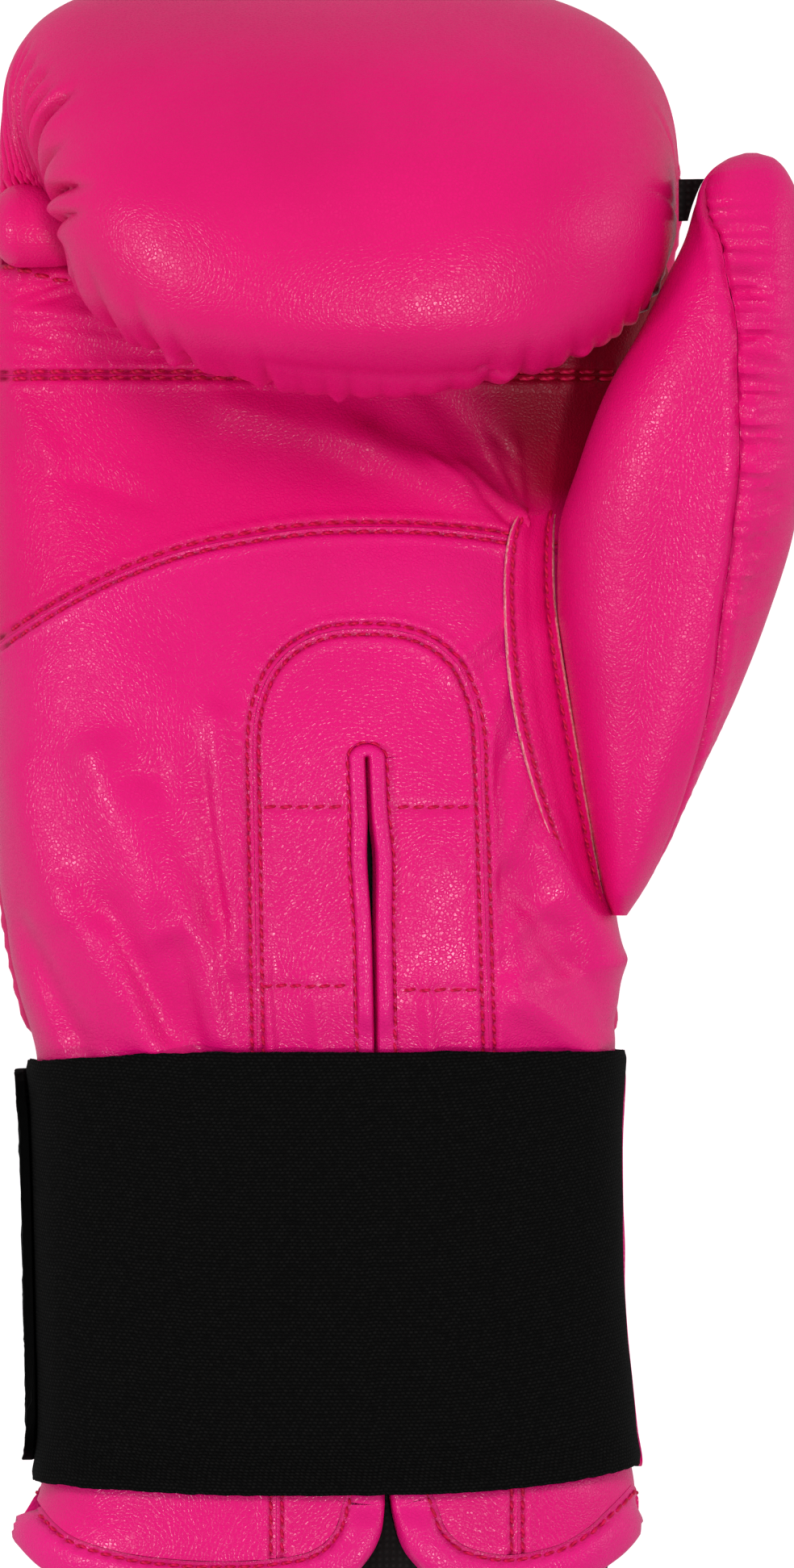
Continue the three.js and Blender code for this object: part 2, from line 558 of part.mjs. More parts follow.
// The strip that bridges palm and thumb: it lies on whichever is higher, a little arched.
function stripSolid() {
  const left = curvePoints(STRIP_LEFT, STRIP_STEPS);
  const right = curvePoints(STRIP_RIGHT, STRIP_STEPS);
  const seat = (x, y) => Math.max(palmHeight(x, y), thumbHeight(x, y));
  const place = (lift) => (u, v) => {
    const i = Math.round(u * STRIP_STEPS);
    const x = mix(left[i][0], right[i][0], v);
    const y = mix(left[i][1], right[i][1], v);
    const z = mix(seat(...left[i]), seat(...right[i]), v);
    const arch = STRIP.arch * Math.sin(Math.PI * v);
    return [x, y, Math.max(z, seat(x, y)) + arch + lift];
  };
  return wall(place(STRIP.lift + STRIP.thick), place(STRIP.lift), STRIP_STEPS, 4);
}

// Height of the palm's surface over a point seen from above.
function palmHeight(x, y) {
  const get = (name) => column(BODY, 'y', y, name);
  const middle = (get('left') + get('right')) / 2;
  const across = Math.min(1, Math.abs(x - middle) / ((get('right') - get('left')) / 2));
  return get('centre') + (get('palm') - get('centre')) * (1 - across ** PALM_SQUARE) ** (1 / PALM_SQUARE)
    + palmRelief(x, y);
}

// Height of the thumb's surface, far below everything where there is no thumb.
function thumbHeight(x, y) {
  const get = (name) => column(THUMB, 'y', y, name);
  const middle = (get('left') + get('right')) / 2;
  const across = Math.abs(x - middle) / ((get('right') - get('left')) / 2);
  if (across >= 1 || y > THUMB_TIP || y < THUMB_ROOT) return -Infinity;
  return (get('low') + get('high')) / 2 + THUMB_TILT * (x - middle)
    + ((get('high') - get('low')) / 2) * (1 - across ** THUMB_SQUARE) ** (1 / THUMB_SQUARE);
}

// A band round the wrist between two angles, with rounded corners where it has a free end.
function wristBand({ thick, start, end, top, bottom, corner = 0 }, rise, steps, bow = () => 0) {
  const place = (u, v, out) => {
    const angle = mix(start, end, v);
    const last = corner ? Math.min(Math.abs(angle - start), Math.abs(end - angle)) * 0.9 : corner;
    const cut = corner && last < corner ? corner - Math.sqrt(corner ** 2 - (corner - last) ** 2) : 0;
    const y = mix(bottom + cut + bow(angle, 0), top - cut - bow(angle, 1), u);
    const lift = rise(angle) + out;
    return bodyPoint(y, angle, -lift, -lift, -lift);
  };
  return wall((u, v) => place(u, v, thick), (u, v) => place(u, v, 0), 6, steps);
}

// How far the strap's edges draw in at its sides: its upper edge on the left, its lower edge on both.
const strapBow = (angle, upper) => {
  const side = Math.cos(radians(angle)) ** 2;
  if (upper) return angle > 90 ? 2 * side : 0;
  return angle > 90 ? 1.8 * side : 4.6 * side;
};

// Height over the leather of what lies on the strap and comes down beside it; past is how far on in degrees.
const overStrap = (past) => mix(BESIDE_STRAP, STRAP.thick + 1.15, Math.min(Math.max(past / 12, 0), 1));

// The black web that ties the thumb's tip to the mitt.
function thumbTab() {
  const place = (z) => (u, v) => {
    const y = mix(TAB.bottom, TAB.top, v);
    const x = mix(TAB.left, column(THUMB, 'y', y, 'left') - GAP - 0.2, u);
    return [x, y, mix(z - 1, z + 0.6, u)];
  };
  return wall(place(TAB.z + TAB.thick), place(TAB.z), 2, 4);
}

// The pieces

const body = bodySolid(SEAT);
const way = passage();
const band = bandSolid(GAP);
const beyond = beyondFlaps();
const upper = prism(arcOutline(GAP / 2));
const above = prism(arcOutline(-GAP / 2));
const insert = prism(insertOutline(-GAP / 2));
const insertHole = prism(insertOutline(GAP / 2));
const heelSheet = palmLayer({ low: -141.5, high: FINGER_SEAM_Y - GAP / 2, steps: 22 });

// How far the back's hem has risen at an angle.
const hemRise = (angle) => BACK_HEM.rise * Math.abs(Math.cos(radians(angle))) ** 3;

function cuffBack() {
  const place = (u, v, inside) => {
    const angle = mix(180, 360, v);
    const y = mix(BACK_HEM.joint + hemRise(angle), MITT_WRIST - GAP, u);
    return backPoint(y, angle, inside * column(BODY, 'y', y, 'side'), inside * column(BODY, 'y', y, 'pad'));
  };
  return wall((u, v) => rested(place(u, v, 0)), (u, v) => place(u, v, 1), 9, 18);
}

function backBinding() {
  const { low, high, proud, tuck } = BACK_HEM;
  const outer = (u, v) => {
    const angle = mix(180, 360, v);
    return rested(backPoint(mix(low, high, u) + hemRise(angle), angle, -proud, -proud));
  };
  const inner = (u, v) => {
    const angle = mix(180, 360, v);
    const y = mix(low, high, u) + hemRise(angle);
    const inset = column(BODY, 'y', y, 'side') + GAP;
    return backPoint(y, angle, inset, inset + tuck);
  };
  return wall(outer, inner, 2, 18);
}

// The binding stands proud of the leather, but not where the strap presses on it.
const bindingRise = (y) => (y > STRAP.bottom - 7 && y < STRAP.top + 7 ? 0 : BINDING_PROUD);

// The lining lies just inside the leather and the padding.
const liningWall = (thick) => (u, v) => {
  const y = mix(LINING.mouth, LINING.end, u);
  const [side, pad] = [column(BODY, 'y', y, 'side'), column(BODY, 'y', y, 'pad')];
  return bodyPoint(y, v * 360, side + 0.9 + thick, LEATHER + 1.6 + thick, pad + 0.6 + thick);
};

const pieces = {
  mitt_shell: [mittShell().subtract(way), PINK],
  curl_lining: [curlLining(), PINK],
  grip_roll: [gripRoll(), PINK],
  finger_panel: [palmLayer({ low: FINGER_SEAM_Y + GAP / 2, high: ROLL_SEAM_Y - GAP, steps: 3 }), PINK],
  palm_panel: [heelSheet.intersect(upper).subtract(way), PINK],
  heel_panel: [
    heelSheet.subtract(above).subtract(insertHole).subtract(band).subtract(beyond).subtract(way), PINK],
  slit_panel: [heelSheet.intersect(insert).subtract(band).subtract(beyond), PINK],
  slit_binding: [
    palmLayer({ low: -141.5, high: 12, rise: bindingRise, thick: LEATHER + 0.6, steps: 16 })
      .intersect(bandSolid(0)).subtract(beyond), PINK],
  cuff_back: [cuffBack(), PINK],
  cuff_back_binding: [backBinding(), PINK],
  lining: [wall(liningWall(0), liningWall(LINING.thick), 11, 16, true).subtract(way), CLOTH],
  thumb_pad: [
    thumbWall(() => THUMB_BACK_SEAM - 359, (y) => seamAt(y) - 1, THUMB_PAD_WALL, GATHER_DEPTH, 9)
      .subtract(body).subtract(way), PINK],
  thumb_panel: [
    thumbWall((y) => seamAt(y) + 1, () => THUMB_BACK_SEAM - 1, THUMB_PANEL_WALL, 0, 7)
      .subtract(body).subtract(way), PINK],
  thumb_strip: [stripSolid(), PINK],
  thumb_tab: [thumbTab(), CLOTH],
  wrist_strap: [wristBand(STRAP, () => UNDER_STRAP, 24, strapBow), ELASTIC],
  closure_tab: [wristBand(CLOSURE, (angle) => overStrap(STRAP.end + 18 - angle), 20), HOOK_LOOP],
  strap_anchor: [wristBand(ANCHOR, (angle) => overStrap(angle - (STRAP.start + 346)), 8), PINK],
};

// A cut can leave crumbs beside a piece; only the piece itself stays.
const largest = (solid) => solid.decompose().sort((a, b) => b.volume() - a.volume())[0];

const glove = new THREE.Group();
for (const [name, [solid, look]] of Object.entries(pieces)) {
  const { vertProperties, triVerts } = largest(solid).getMesh();
  const geometry = new THREE.BufferGeometry();
  geometry.setAttribute('position', new THREE.BufferAttribute(new Float32Array(vertProperties), 3));
  geometry.setIndex(new THREE.BufferAttribute(new Uint32Array(triVerts), 1));
  const mesh = new THREE.Mesh(geometry, new THREE.MeshStandardMaterial(look));
  mesh.name = name;
  glove.add(mesh);
}

export default glove;
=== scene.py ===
"""A padded kickboxing glove for the right hand, lying on its back with its palm up.

Sizes are in millimetres until a mesh is made. X runs to the thumb's side, Y to the knuckles, Z up.
"""

import bpy
import numpy as np
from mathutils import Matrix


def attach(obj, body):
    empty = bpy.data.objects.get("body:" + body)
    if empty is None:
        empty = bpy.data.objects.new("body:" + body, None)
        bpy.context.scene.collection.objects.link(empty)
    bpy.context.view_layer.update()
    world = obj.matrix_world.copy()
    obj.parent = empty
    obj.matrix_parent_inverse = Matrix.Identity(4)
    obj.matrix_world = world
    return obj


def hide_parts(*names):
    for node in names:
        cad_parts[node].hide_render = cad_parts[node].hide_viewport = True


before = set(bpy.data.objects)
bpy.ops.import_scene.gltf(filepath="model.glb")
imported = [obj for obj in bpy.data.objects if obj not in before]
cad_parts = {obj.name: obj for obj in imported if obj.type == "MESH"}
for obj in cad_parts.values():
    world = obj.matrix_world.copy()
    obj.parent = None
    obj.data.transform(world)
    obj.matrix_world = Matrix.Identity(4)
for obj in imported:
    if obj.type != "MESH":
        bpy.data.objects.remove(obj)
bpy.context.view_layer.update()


# The padded mitt
# The back of the hand, the knuckles and the pillow that curls over the fingers are one thick cut of
# pink synthetic leather over moulded foam. It is sewn to the palm along both sides, pleated into the
# crook of the fingers, and gathered where it turns under at the fingertips.


def table(names, rows):
    """A table of named columns over the key in its first one. Between two rows a value follows a cubic
    whose slope at each row is the harmonic mean of the slopes on both sides, so it never overshoots."""
    names = names.split()
    grid = np.array(rows, float)
    grid = grid[np.argsort(grid[:, 0])]
    keys = grid[:, 0]

    def value(name, at):
        values = grid[:, names.index(name)]
        slope = np.diff(values) / np.diff(keys)
        before, after = slope[:-1], slope[1:]
        turns = before * after <= 0
        inner = np.where(turns, 0, 2 * before * after / np.where(turns, 1, before + after))
        tangent = np.concatenate([slope[:1], inner, slope[-1:]])
        at = np.clip(at, keys[0], keys[-1])
        i = np.clip(np.searchsorted(keys, at, side="right") - 1, 0, len(keys) - 2)
        h = keys[i + 1] - keys[i]
        t = (at - keys[i]) / h
        start = (2 * t**3 - 3 * t**2 + 1) * values[i] + (t**3 - 2 * t**2 + t) * h * tangent[i]
        end = (3 * t**2 - 2 * t**3) * values[i + 1] + (t**3 - t**2) * h * tangent[i + 1]
        return start + end

    return value


# Cross-sections of the glove's body from the cuff's hem to the crook of the fingers.
body = table("y left right centre palm back pad side", [
    (-141, -64.5, 39.5, 34, 62, -0.8, 6, 2.6), (-131, -66.4, 41.5, 35, 65, -0.8, 7, 2.6),
    (-123, -62.6, 41.6, 35, 65, 1.6, 8, 2.6), (-112, -60.8, 39.8, 34, 61, 4, 8, 2.6),
    (-85, -61.3, 37.6, 33, 59, 5, 8, 2.6), (-60, -62, 37.3, 33.5, 60.5, 4.8, 9, 2.8),
    (-47, -63, 38, 34, 62.5, 3.4, 12, 3), (-36, -66.6, 38.6, 35, 66, 0.8, 16, 4),
    (-20, -69.2, 37.8, 37, 69.5, -1.2, 20, 5), (5, -70.4, 36, 40, 71.5, -1.6, 23, 6),
    (35, -70.8, 35.5, 43, 71, -1.6, 24, 7), (60, -70.8, 38.5, 47, 69, -1.6, 25, 7),
    (78, -70.6, 43, 51, 68, -1.2, 26, 7), (90, -70.2, 47.5, 55, 67, -0.4, 26, 7),
    (97, -69.8, 48.8, 58, 66, 0.2, 26, 7)])
# Cross-sections of the fingers' part, turned in degrees round an axis along X.
fist = table("phi reach left right pad tuck_left tuck_right square_left square_right", [
    (0, 63.8, -69.8, 48.8, 26, 0, 0, 2.6, 2.6), (30, 55.4, -69.9, 49, 27, 0.5, 0, 2.9, 2.6),
    (60, 48.2, -69.6, 49, 27, 2.5, 0.5, 3.6, 2.7), (90, 43.6, -68.8, 48.9, 25, 6, 0.8, 4, 2.8),
    (120, 42, -67.5, 48.7, 22, 9, 1, 3.6, 2.9), (150, 43.6, -65.6, 48.6, 19, 10, 1, 3, 2.9),
    (180, 49, -63.2, 48.5, 18, 9, 0.6, 2.7, 2.7), (200, 50.6, -61, 47.8, 17, 7, 0.5, 2.4, 2.4),
    (220, 42.6, -58.6, 46.4, 13, 4, 0.4, 2.05, 2.25), (236, 33.5, -57.2, 45.7, 9, 2, 0.2, 1.9, 2.2),
    (250, 26.5, -56, 45.2, 6, 0, 0, 1.9, 2.3)])
axis_y, axis_z, crook_radius, rim_phi = 97, 64, 6, 250
section_square = 2.6
strap_top, strap_bottom, wrist_seam_y = -45.6, -122.2, -44
# Folds of the palm: a ridge along a line from x0, y0 to x1, y1; a negative height is a valley.
palm_folds = [
    (-41, -4, -29, -46, 5, 1.6), (-33, 0, -27.5, -46, 2.6, -1.3), (-50, -22, -36, -47, 3.6, -1.5),
    (-57, -20, -43, -47, 3.4, 1.4), (-63, -30, -52, -48, 3.4, -1.4), (17, -6, 19, -36, 4, 1.2),
    (24, -14, 33, -40, 3.6, -1.2), (-8, 62, 19, 47, 4, 1.3), (7, 68, 21, 50, 3, -1.1)]


def bump(t):
    """A smooth hill of height 1 that falls off as exp(-t squared)."""
    return np.exp(-t * t)


def ramp(value, low, high):
    """0 below low, 1 above high, and a smooth step between them."""
    t = np.clip((value - low) / (high - low), 0, 1)
    return t * t * (3 - 2 * t)


def squircle(turn, exponent):
    """The point at an angle on a superellipse that is 2 wide and 2 high: the unit direction, divided by
    its length in the norm of that exponent."""
    c, s = np.cos(turn), np.sin(turn)
    size = (np.abs(c) ** exponent + np.abs(s) ** exponent) ** (1 / exponent)
    return c / size, s / size


def fold_height(folds, x, y, end=6):
    """Sum of ridges, each a hill across its line that fades beyond the line's two ends."""
    height = 0
    for x0, y0, x1, y1, width, rise in folds:
        dx, dy = x1 - x0, y1 - y0
        size = np.hypot(dx, dy)
        along = ((x - x0) * dx + (y - y0) * dy) / size
        beside = ((x - x0) * dy - (y - y0) * dx) / size
        past = np.maximum(0, np.maximum(-along, along - size))
        height = height + rise * bump(beside / width) * bump(past / end)
    return height


def palm_relief(x, y):
    """The hollow under the fingers and the large folds, fading out just above the strap."""
    hollow = -6.5 * bump((x + 4) / 36) * bump((y - 68) / 24)
    return (hollow + fold_height(palm_folds, x, y)) * np.clip((y - strap_top + 1.4) / 4, 0, 1)


def body_width(y):
    """Where the middle of the body's section lies, and half its width."""
    left, right = body("left", y), body("right", y)
    return (left + right) / 2, (right - left) / 2


def body_point(turn, y, off_side=0, off_palm=0, off_back=0):
    """Point of the body at an angle from the thumb's side over the palm: a superellipse between the
    section's sides, with its own height above and below the widest line, less the insets."""
    across, up = squircle(turn, section_square)
    (middle, half), centre = body_width(y), body("centre", y)
    x = middle + (half - off_side) * across
    over, under = body("palm", y) - centre - off_palm, centre - body("back", y) - off_back
    z = centre + np.where(up > 0, over, under) * up
    raised = np.minimum(1, 2 * np.maximum(up, 0) ** 1.3)
    return np.stack([x, y + 0 * x, z + palm_relief(x, y) * raised], -1)


def back_point(turn, y, off_side=0, off_back=0):
    """The same on the padded back, kept just under the seam with the palm."""
    point = body_point(turn, y, off_side, 0, off_back)
    point[..., 2] = np.minimum(point[..., 2], body("centre", y) - 0.35)
    return point


def fist_point(phi, turn, off_crown=0, off_side=0):
    """Point of the fingers' part: its section stands away from the crook's axis by the crown times the
    reach, drawn in at the sides near the crook, and is turned by phi degrees round that axis."""
    square = np.where(np.cos(turn) < 0, fist("square_left", phi), fist("square_right", phi))
    across, crown = squircle(turn, square)
    left, right = fist("left", phi), fist("right", phi)
    half = (right - left) / 2
    tuck = np.where(np.cos(turn) < 0, fist("tuck_left", phi), fist("tuck_right", phi))
    drawn = np.sign(across) * tuck * (1 - crown) ** 2 * (half - off_side) / half
    x = (left + right) / 2 + (half - off_side) * across - drawn
    reach = crook_radius + (fist("reach", phi) - off_crown - crook_radius) * crown
    angle = np.radians(phi)
    return np.stack([x, axis_y + reach * np.sin(angle), axis_z - reach * np.cos(angle)], -1)


lattice = np.random.default_rng(11).uniform(-1, 1, (24, 24, 24))


def uneven(points, size, shift=0.0):
    """Smooth random height from -1 to 1: random numbers on a cube lattice with that spacing, blended
    between the eight corners by the smooth step 3t^2 - 2t^3."""
    at = points / size + shift
    low = np.floor(at).astype(int)
    t = at - low
    t = t * t * (3 - 2 * t)
    total = 0
    for corner in np.ndindex(2, 2, 2):
        weight = np.prod(np.abs(1 - np.array(corner) - t), axis=-1)
        i, j, k = np.moveaxis((low + corner) % 24, -1, 0)
        total = total + weight * lattice[i, j, k]
    return total


def lengths(grid, axis):
    """Distance run along the grid's rows or columns up to each point."""
    steps = np.linalg.norm(np.diff(grid, axis=axis), axis=-1)
    return np.concatenate([np.zeros_like(steps.take([0], axis)), np.cumsum(steps, axis)], axis)


def back_lengths(grid, axis):
    """The same from the far end of each row or column back to each point."""
    return np.flip(lengths(np.flip(grid, axis), axis), axis)


def unit(vectors):
    """The vectors at length 1."""
    return vectors / np.maximum(np.linalg.norm(vectors, axis=-1, keepdims=True), 1e-9)


def normals(grid, inside):
    """Unit normals of a grid, the cross product of its differences both ways, pointing away from inside."""
    n = unit(np.cross(np.gradient(grid, axis=0), np.gradient(grid, axis=1)))
    return n if np.sum(n * (grid - inside)) > 0 else -n


def swell(grid, height, inside):
    """The grid moved by height along its normals, away from inside."""
    return grid + normals(grid, inside) * height[..., None]


def mesh_piece(name, points, faces, kinds, skins, marks=None, run=None):
    """An object from points in millimetres and arrays of faces, with a skin number for each array,
    marks as point attributes, and run, the lengths along the piece in metres, as its UV map."""
    triple = [np.einsum("ij,ij->i", points[f[:, 0]], np.cross(points[f[:, k]], points[f[:, k + 1]])).sum()
              for f in faces for k in range(1, f.shape[1] - 1)]
    if sum(triple) < 0:
        faces = [f[:, ::-1] for f in faces]
    corners = np.concatenate([f.ravel() for f in faces]).astype(np.int32)
    sizes = np.concatenate([np.full(len(f), f.shape[1]) for f in faces])
    mesh = bpy.data.meshes.new(name)
    mesh.vertices.add(len(points))
    mesh.vertices.foreach_set("co", (points / 1000).astype(np.float32).ravel())
    mesh.loops.add(len(corners))
    mesh.loops.foreach_set("vertex_index", corners)
    mesh.polygons.add(len(sizes))
    mesh.polygons.foreach_set("loop_start", (np.cumsum(sizes) - sizes).astype(np.int32))
    mesh.polygons.foreach_set("use_smooth", np.ones(len(sizes), bool))
    mesh.polygons.foreach_set("material_index", np.repeat(kinds, [len(f) for f in faces]).astype(np.int32))
    for mark, values in (marks or {}).items():
        full = np.zeros(len(points), np.float32)
        full[:values.size] = values.ravel()
        mesh.attributes.new(mark, "FLOAT", "POINT").data.foreach_set("value", full)
    if run is not None:
        full = np.zeros((len(points), 2), np.float32)
        full[:len(run)] = run / 1000
        mesh.uv_layers.new(name="run").data.foreach_set("uv", full[corners].ravel())
    mesh.update(calc_edges=True)
    mesh.validate()
    mesh.set_sharp_from_angle(angle=np.radians(48))
    for skin in skins:
        mesh.materials.append(skin)
    piece = bpy.data.objects.new(name, mesh)
    bpy.context.scene.collection.objects.link(piece)
    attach(piece, "root")
    return piece


# A wall has one point inside for every fourth one outside.
inner_step = 4


def walled(name, outer, inner, skins, joined=False, marks=None):
    """A closed wall between two grids of points. Of the inner one every fourth row and column is kept:
    quads cover both sides, and along each edge one face joins an inner step to the outer points beside
    it. joined closes the grids round in their second direction. The skins are the outside's, the
    inside's and, where it is another, the edges' own."""
    inner = inner[::inner_step, ::inner_step]
    (n, m), (a, b) = outer.shape[:2], inner.shape[:2]
    out = np.arange(n * m).reshape(n, m)
    inn = n * m + np.arange(a * b).reshape(a, b)
    if joined:
        out, inn = np.c_[out, out[:, :1]], np.c_[inn, inn[:, :1]]

    def edge(outside, inside):
        starts = np.arange(len(inside) - 1)[:, None] * inner_step
        return np.c_[outside[starts + np.arange(inner_step + 1)], inside[1:], inside[:-1]]

    quads = np.stack([out[:-1, :-1], out[1:, :-1], out[1:, 1:], out[:-1, 1:]], -1).reshape(-1, 4)
    back = np.stack([inn[:-1, :-1], inn[:-1, 1:], inn[1:, 1:], inn[1:, :-1]], -1).reshape(-1, 4)
    faces = [quads, back, edge(out[0], inn[0]), edge(out[-1][::-1], inn[-1][::-1])]
    if not joined:
        faces += [edge(out[::-1, 0], inn[::-1, 0]), edge(out[:, -1], inn[:, -1])]
    points = np.concatenate([outer.reshape(-1, 3), inner.reshape(-1, 3)])
    run = np.stack([lengths(outer, 1), lengths(outer, 0)], -1).reshape(-1, 2)
    kinds = [0, 1] + [2 if len(skins) > 2 else 0] * (len(faces) - 2)
    return mesh_piece(name, points, faces, kinds, skins, marks, run)


def node_group(name, inputs, outputs):
    """A new shader node group with those sockets, and its two end nodes."""
    group = bpy.data.node_groups.new(name, "ShaderNodeTree")
    for socket, kind, value in inputs:
        made = group.interface.new_socket(socket, in_out="INPUT", socket_type=kind)
        made.default_value = value
    for socket, kind in outputs:
        group.interface.new_socket(socket, in_out="OUTPUT", socket_type=kind)
    return group, group.nodes.new("NodeGroupInput"), group.nodes.new("NodeGroupOutput")


def put(tree, value, socket):
    """A socket given a value, or joined to another node's output."""
    if isinstance(value, bpy.types.NodeSocket):
        tree.links.new(value, socket)
    else:
        socket.default_value = value


def node(tree, kind, inputs=None, **settings):
    """A node with its settings and its inputs."""
    made = tree.nodes.new(kind)
    for key, value in settings.items():
        setattr(made, key, value)
    for key, value in (inputs or {}).items():
        put(tree, value, made.inputs[key])
    return made


def on_piece(tree):
    """The place on the piece, in metres."""
    return node(tree, "ShaderNodeTexCoord").outputs["Object"]


def noise(tree, place, scale, detail):
    """Smooth noise over the piece, from 0 to 1."""
    return node(tree, "ShaderNodeTexNoise", {"Vector": place, "Scale": scale, "Detail": detail}).outputs[0]


def math(tree, operation, a, b=0.0):
    """The result of one sum on two values or sockets."""
    return node(tree, "ShaderNodeMath", {0: a, 1: b}, operation=operation).outputs[0]


def mixed(tree, factor, a, b, blend="MIX"):
    """Colour a blended with colour b by a factor."""
    made = node(tree, "ShaderNodeMix", {"Factor": factor}, data_type="RGBA", blend_type=blend)
    colours = [socket for socket in made.inputs if socket.type == "RGBA"]
    for socket, value in zip(colours, (a, b)):
        put(tree, value, socket)
    return [socket for socket in made.outputs if socket.type == "RGBA"][0]


def spread(tree, value, low, high, to_low, to_high):
    """A value carried from one range to another and held there."""
    made = node(tree, "ShaderNodeMapRange", {"Value": value, "From Min": low, "From Max": high,
                                             "To Min": to_low, "To Max": to_high}, clamp=True)
    return made.outputs[0]


def leather_grain():
    """Height of the pressed grain: small pebbles, the distance to the nearest of scattered points, over
    fine pores and slow waves, and how much lies in its valleys."""
    group, _, end = node_group(
        "leather grain", [], [("Height", "NodeSocketFloat"), ("Valleys", "NodeSocketFloat")])
    place = on_piece(group)
    warp = node(group, "ShaderNodeTexNoise", {"Vector": place, "Scale": 620.0, "Detail": 1.0})
    shifted = node(group, "ShaderNodeVectorMath", {0: warp.outputs["Color"], "Scale": 0.00035},
                   operation="SCALE")
    moved = node(group, "ShaderNodeVectorMath", {0: place, 1: shifted.outputs[0]}, operation="ADD")
    cells = node(group, "ShaderNodeTexVoronoi", {"Vector": moved.outputs[0], "Scale": 1500.0},
                 feature="DISTANCE_TO_EDGE")
    pebble = spread(group, cells.outputs["Distance"], 0.0, 0.22, 0.0, 1.0)
    slow = node(group, "ShaderNodeTexNoise", {"Vector": place, "Scale": 330.0, "Detail": 4.0,
                                              "Roughness": 0.62})
    height = math(group, "ADD", math(group, "MULTIPLY", pebble, 0.45),
                  math(group, "MULTIPLY", slow.outputs[0], 1.5))
    group.links.new(height, end.inputs["Height"])
    group.links.new(math(group, "SUBTRACT", 1.0, pebble), end.inputs["Valleys"])
    return group


def leather_tone():
    """Colour of dyed leather: lighter and darker in slow clouds, darker in grain valleys, darkened by
    painted shade along creases, seams and into shaded corners, and paler where an edge is rubbed."""
    group, start, end = node_group(
        "leather tone",
        [("Colour", "NodeSocketColor", (0.7, 0.02, 0.2, 1)), ("Valleys", "NodeSocketFloat", 0.0),
         ("Painted shade", "NodeSocketFloat", 0.0), ("Rubbed", "NodeSocketFloat", 0.0)],
        [("Colour", "NodeSocketColor")])
    place = on_piece(group)
    cloud = noise(group, place, 26.0, 3.0)
    colour = start.outputs["Colour"]
    dark = mixed(group, 1.0, colour, (0.80, 0.72, 0.74, 1), "MULTIPLY")
    clouded = mixed(group, spread(group, cloud, 0.35, 0.65, 0.0, 0.5), colour, dark)
    pored = mixed(group, math(group, "MULTIPLY", start.outputs["Valleys"], 0.35), clouded, dark)
    # Painted shade: where the shade mark is high the colour is darkened towards a dark red, standing in for
    # the shade in creases, seams and corners.
    shade_colour = mixed(group, 1.0, colour, (0.3, 0.05, 0.09, 1), "MULTIPLY")
    shaded = mixed(group, start.outputs["Painted shade"], pored, shade_colour)
    fleck = noise(group, place, 900.0, 2.0)
    rub = math(group, "MULTIPLY", start.outputs["Rubbed"], spread(group, fleck, 0.4, 0.62, 0.15, 1.0))
    group.links.new(mixed(group, rub, shaded, (0.9, 0.42, 0.45, 1)), end.inputs["Colour"])
    return group


grain, tone = leather_grain(), leather_tone()


def new_skin(name):
    """A new material and its node tree."""
    skin = bpy.data.materials.new(name)
    skin.use_nodes = True
    return skin, skin.node_tree


def finished(skin, colour, rough, shine, height=None, depth=0.0):
    """The skin with its colour, its roughness, its share of gloss and a relief of that depth."""
    tree = skin.node_tree
    shader = tree.nodes["Principled BSDF"]
    put(tree, colour, shader.inputs["Base Color"])
    put(tree, rough, shader.inputs["Roughness"])
    shader.inputs["Specular IOR Level"].default_value = shine
    if height is not None:
        relief = node(tree, "ShaderNodeBump", {"Distance": depth, "Height": height})
        tree.links.new(relief.outputs[0], shader.inputs["Normal"])
    return skin


def leather(name, colour, roughness, depth, shine=0.3):
    """Pink leather: the tone and grain groups, with the piece's painted shade and rubbed marks."""
    skin, tree = new_skin(name)
    pressed = node(tree, "ShaderNodeGroup", node_tree=grain)
    valleys = pressed.outputs["Valleys"]
    painted_shade, rubbed = (node(tree, "ShaderNodeAttribute", attribute_name=mark).outputs["Fac"]
                      for mark in ("painted_shade", "rubbed"))
    dyed = node(tree, "ShaderNodeGroup", {"Colour": (*colour, 1), "Valleys": valleys, "Painted shade": painted_shade,
                                          "Rubbed": rubbed}, node_tree=tone)
    rough = spread(tree, valleys, 0.0, 1.0, roughness, roughness + 0.12)
    rough = math(tree, "ADD", rough, math(tree, "MULTIPLY", painted_shade, 0.12))
    return finished(skin, dyed.outputs["Colour"], rough, shine, pressed.outputs["Height"], depth)


def cloth_skin():
    """Plain black cloth: a fine crossed weave in object space with a paler nap."""
    skin, tree = new_skin("inside cloth")
    place = on_piece(tree)
    waves = [node(tree, "ShaderNodeTexWave", {"Vector": place, "Scale": 260.0, "Distortion": 0.6},
                  bands_direction=way).outputs["Fac"] for way in ("X", "Y")]
    weave = math(tree, "MULTIPLY", waves[0], waves[1])
    nap = noise(tree, place, 1400.0, 2.0)
    colour = mixed(tree, math(tree, "MULTIPLY", nap, weave), (0.006, 0.005, 0.005, 1),
                   (0.0212, 0.019, 0.019, 1))
    return finished(skin, colour, spread(tree, nap, 0.3, 0.7, 0.82, 0.9), 0.15,
                    math(tree, "ADD", weave, nap), 0.0002)


pink = (0.75, 0.0035, 0.155)
mitt_leather = leather("mitt leather", pink, 0.25, 0.00007)
inside_cloth = cloth_skin()

mitt_y = np.linspace(wrist_seam_y, axis_y, 121)[:, None]
mitt_phi = np.linspace(0, rim_phi, 241)[1:, None]
mitt_across = np.linspace(0, 1, 241)[None, :]
mitt_middle = np.array([-11, 60, 45])
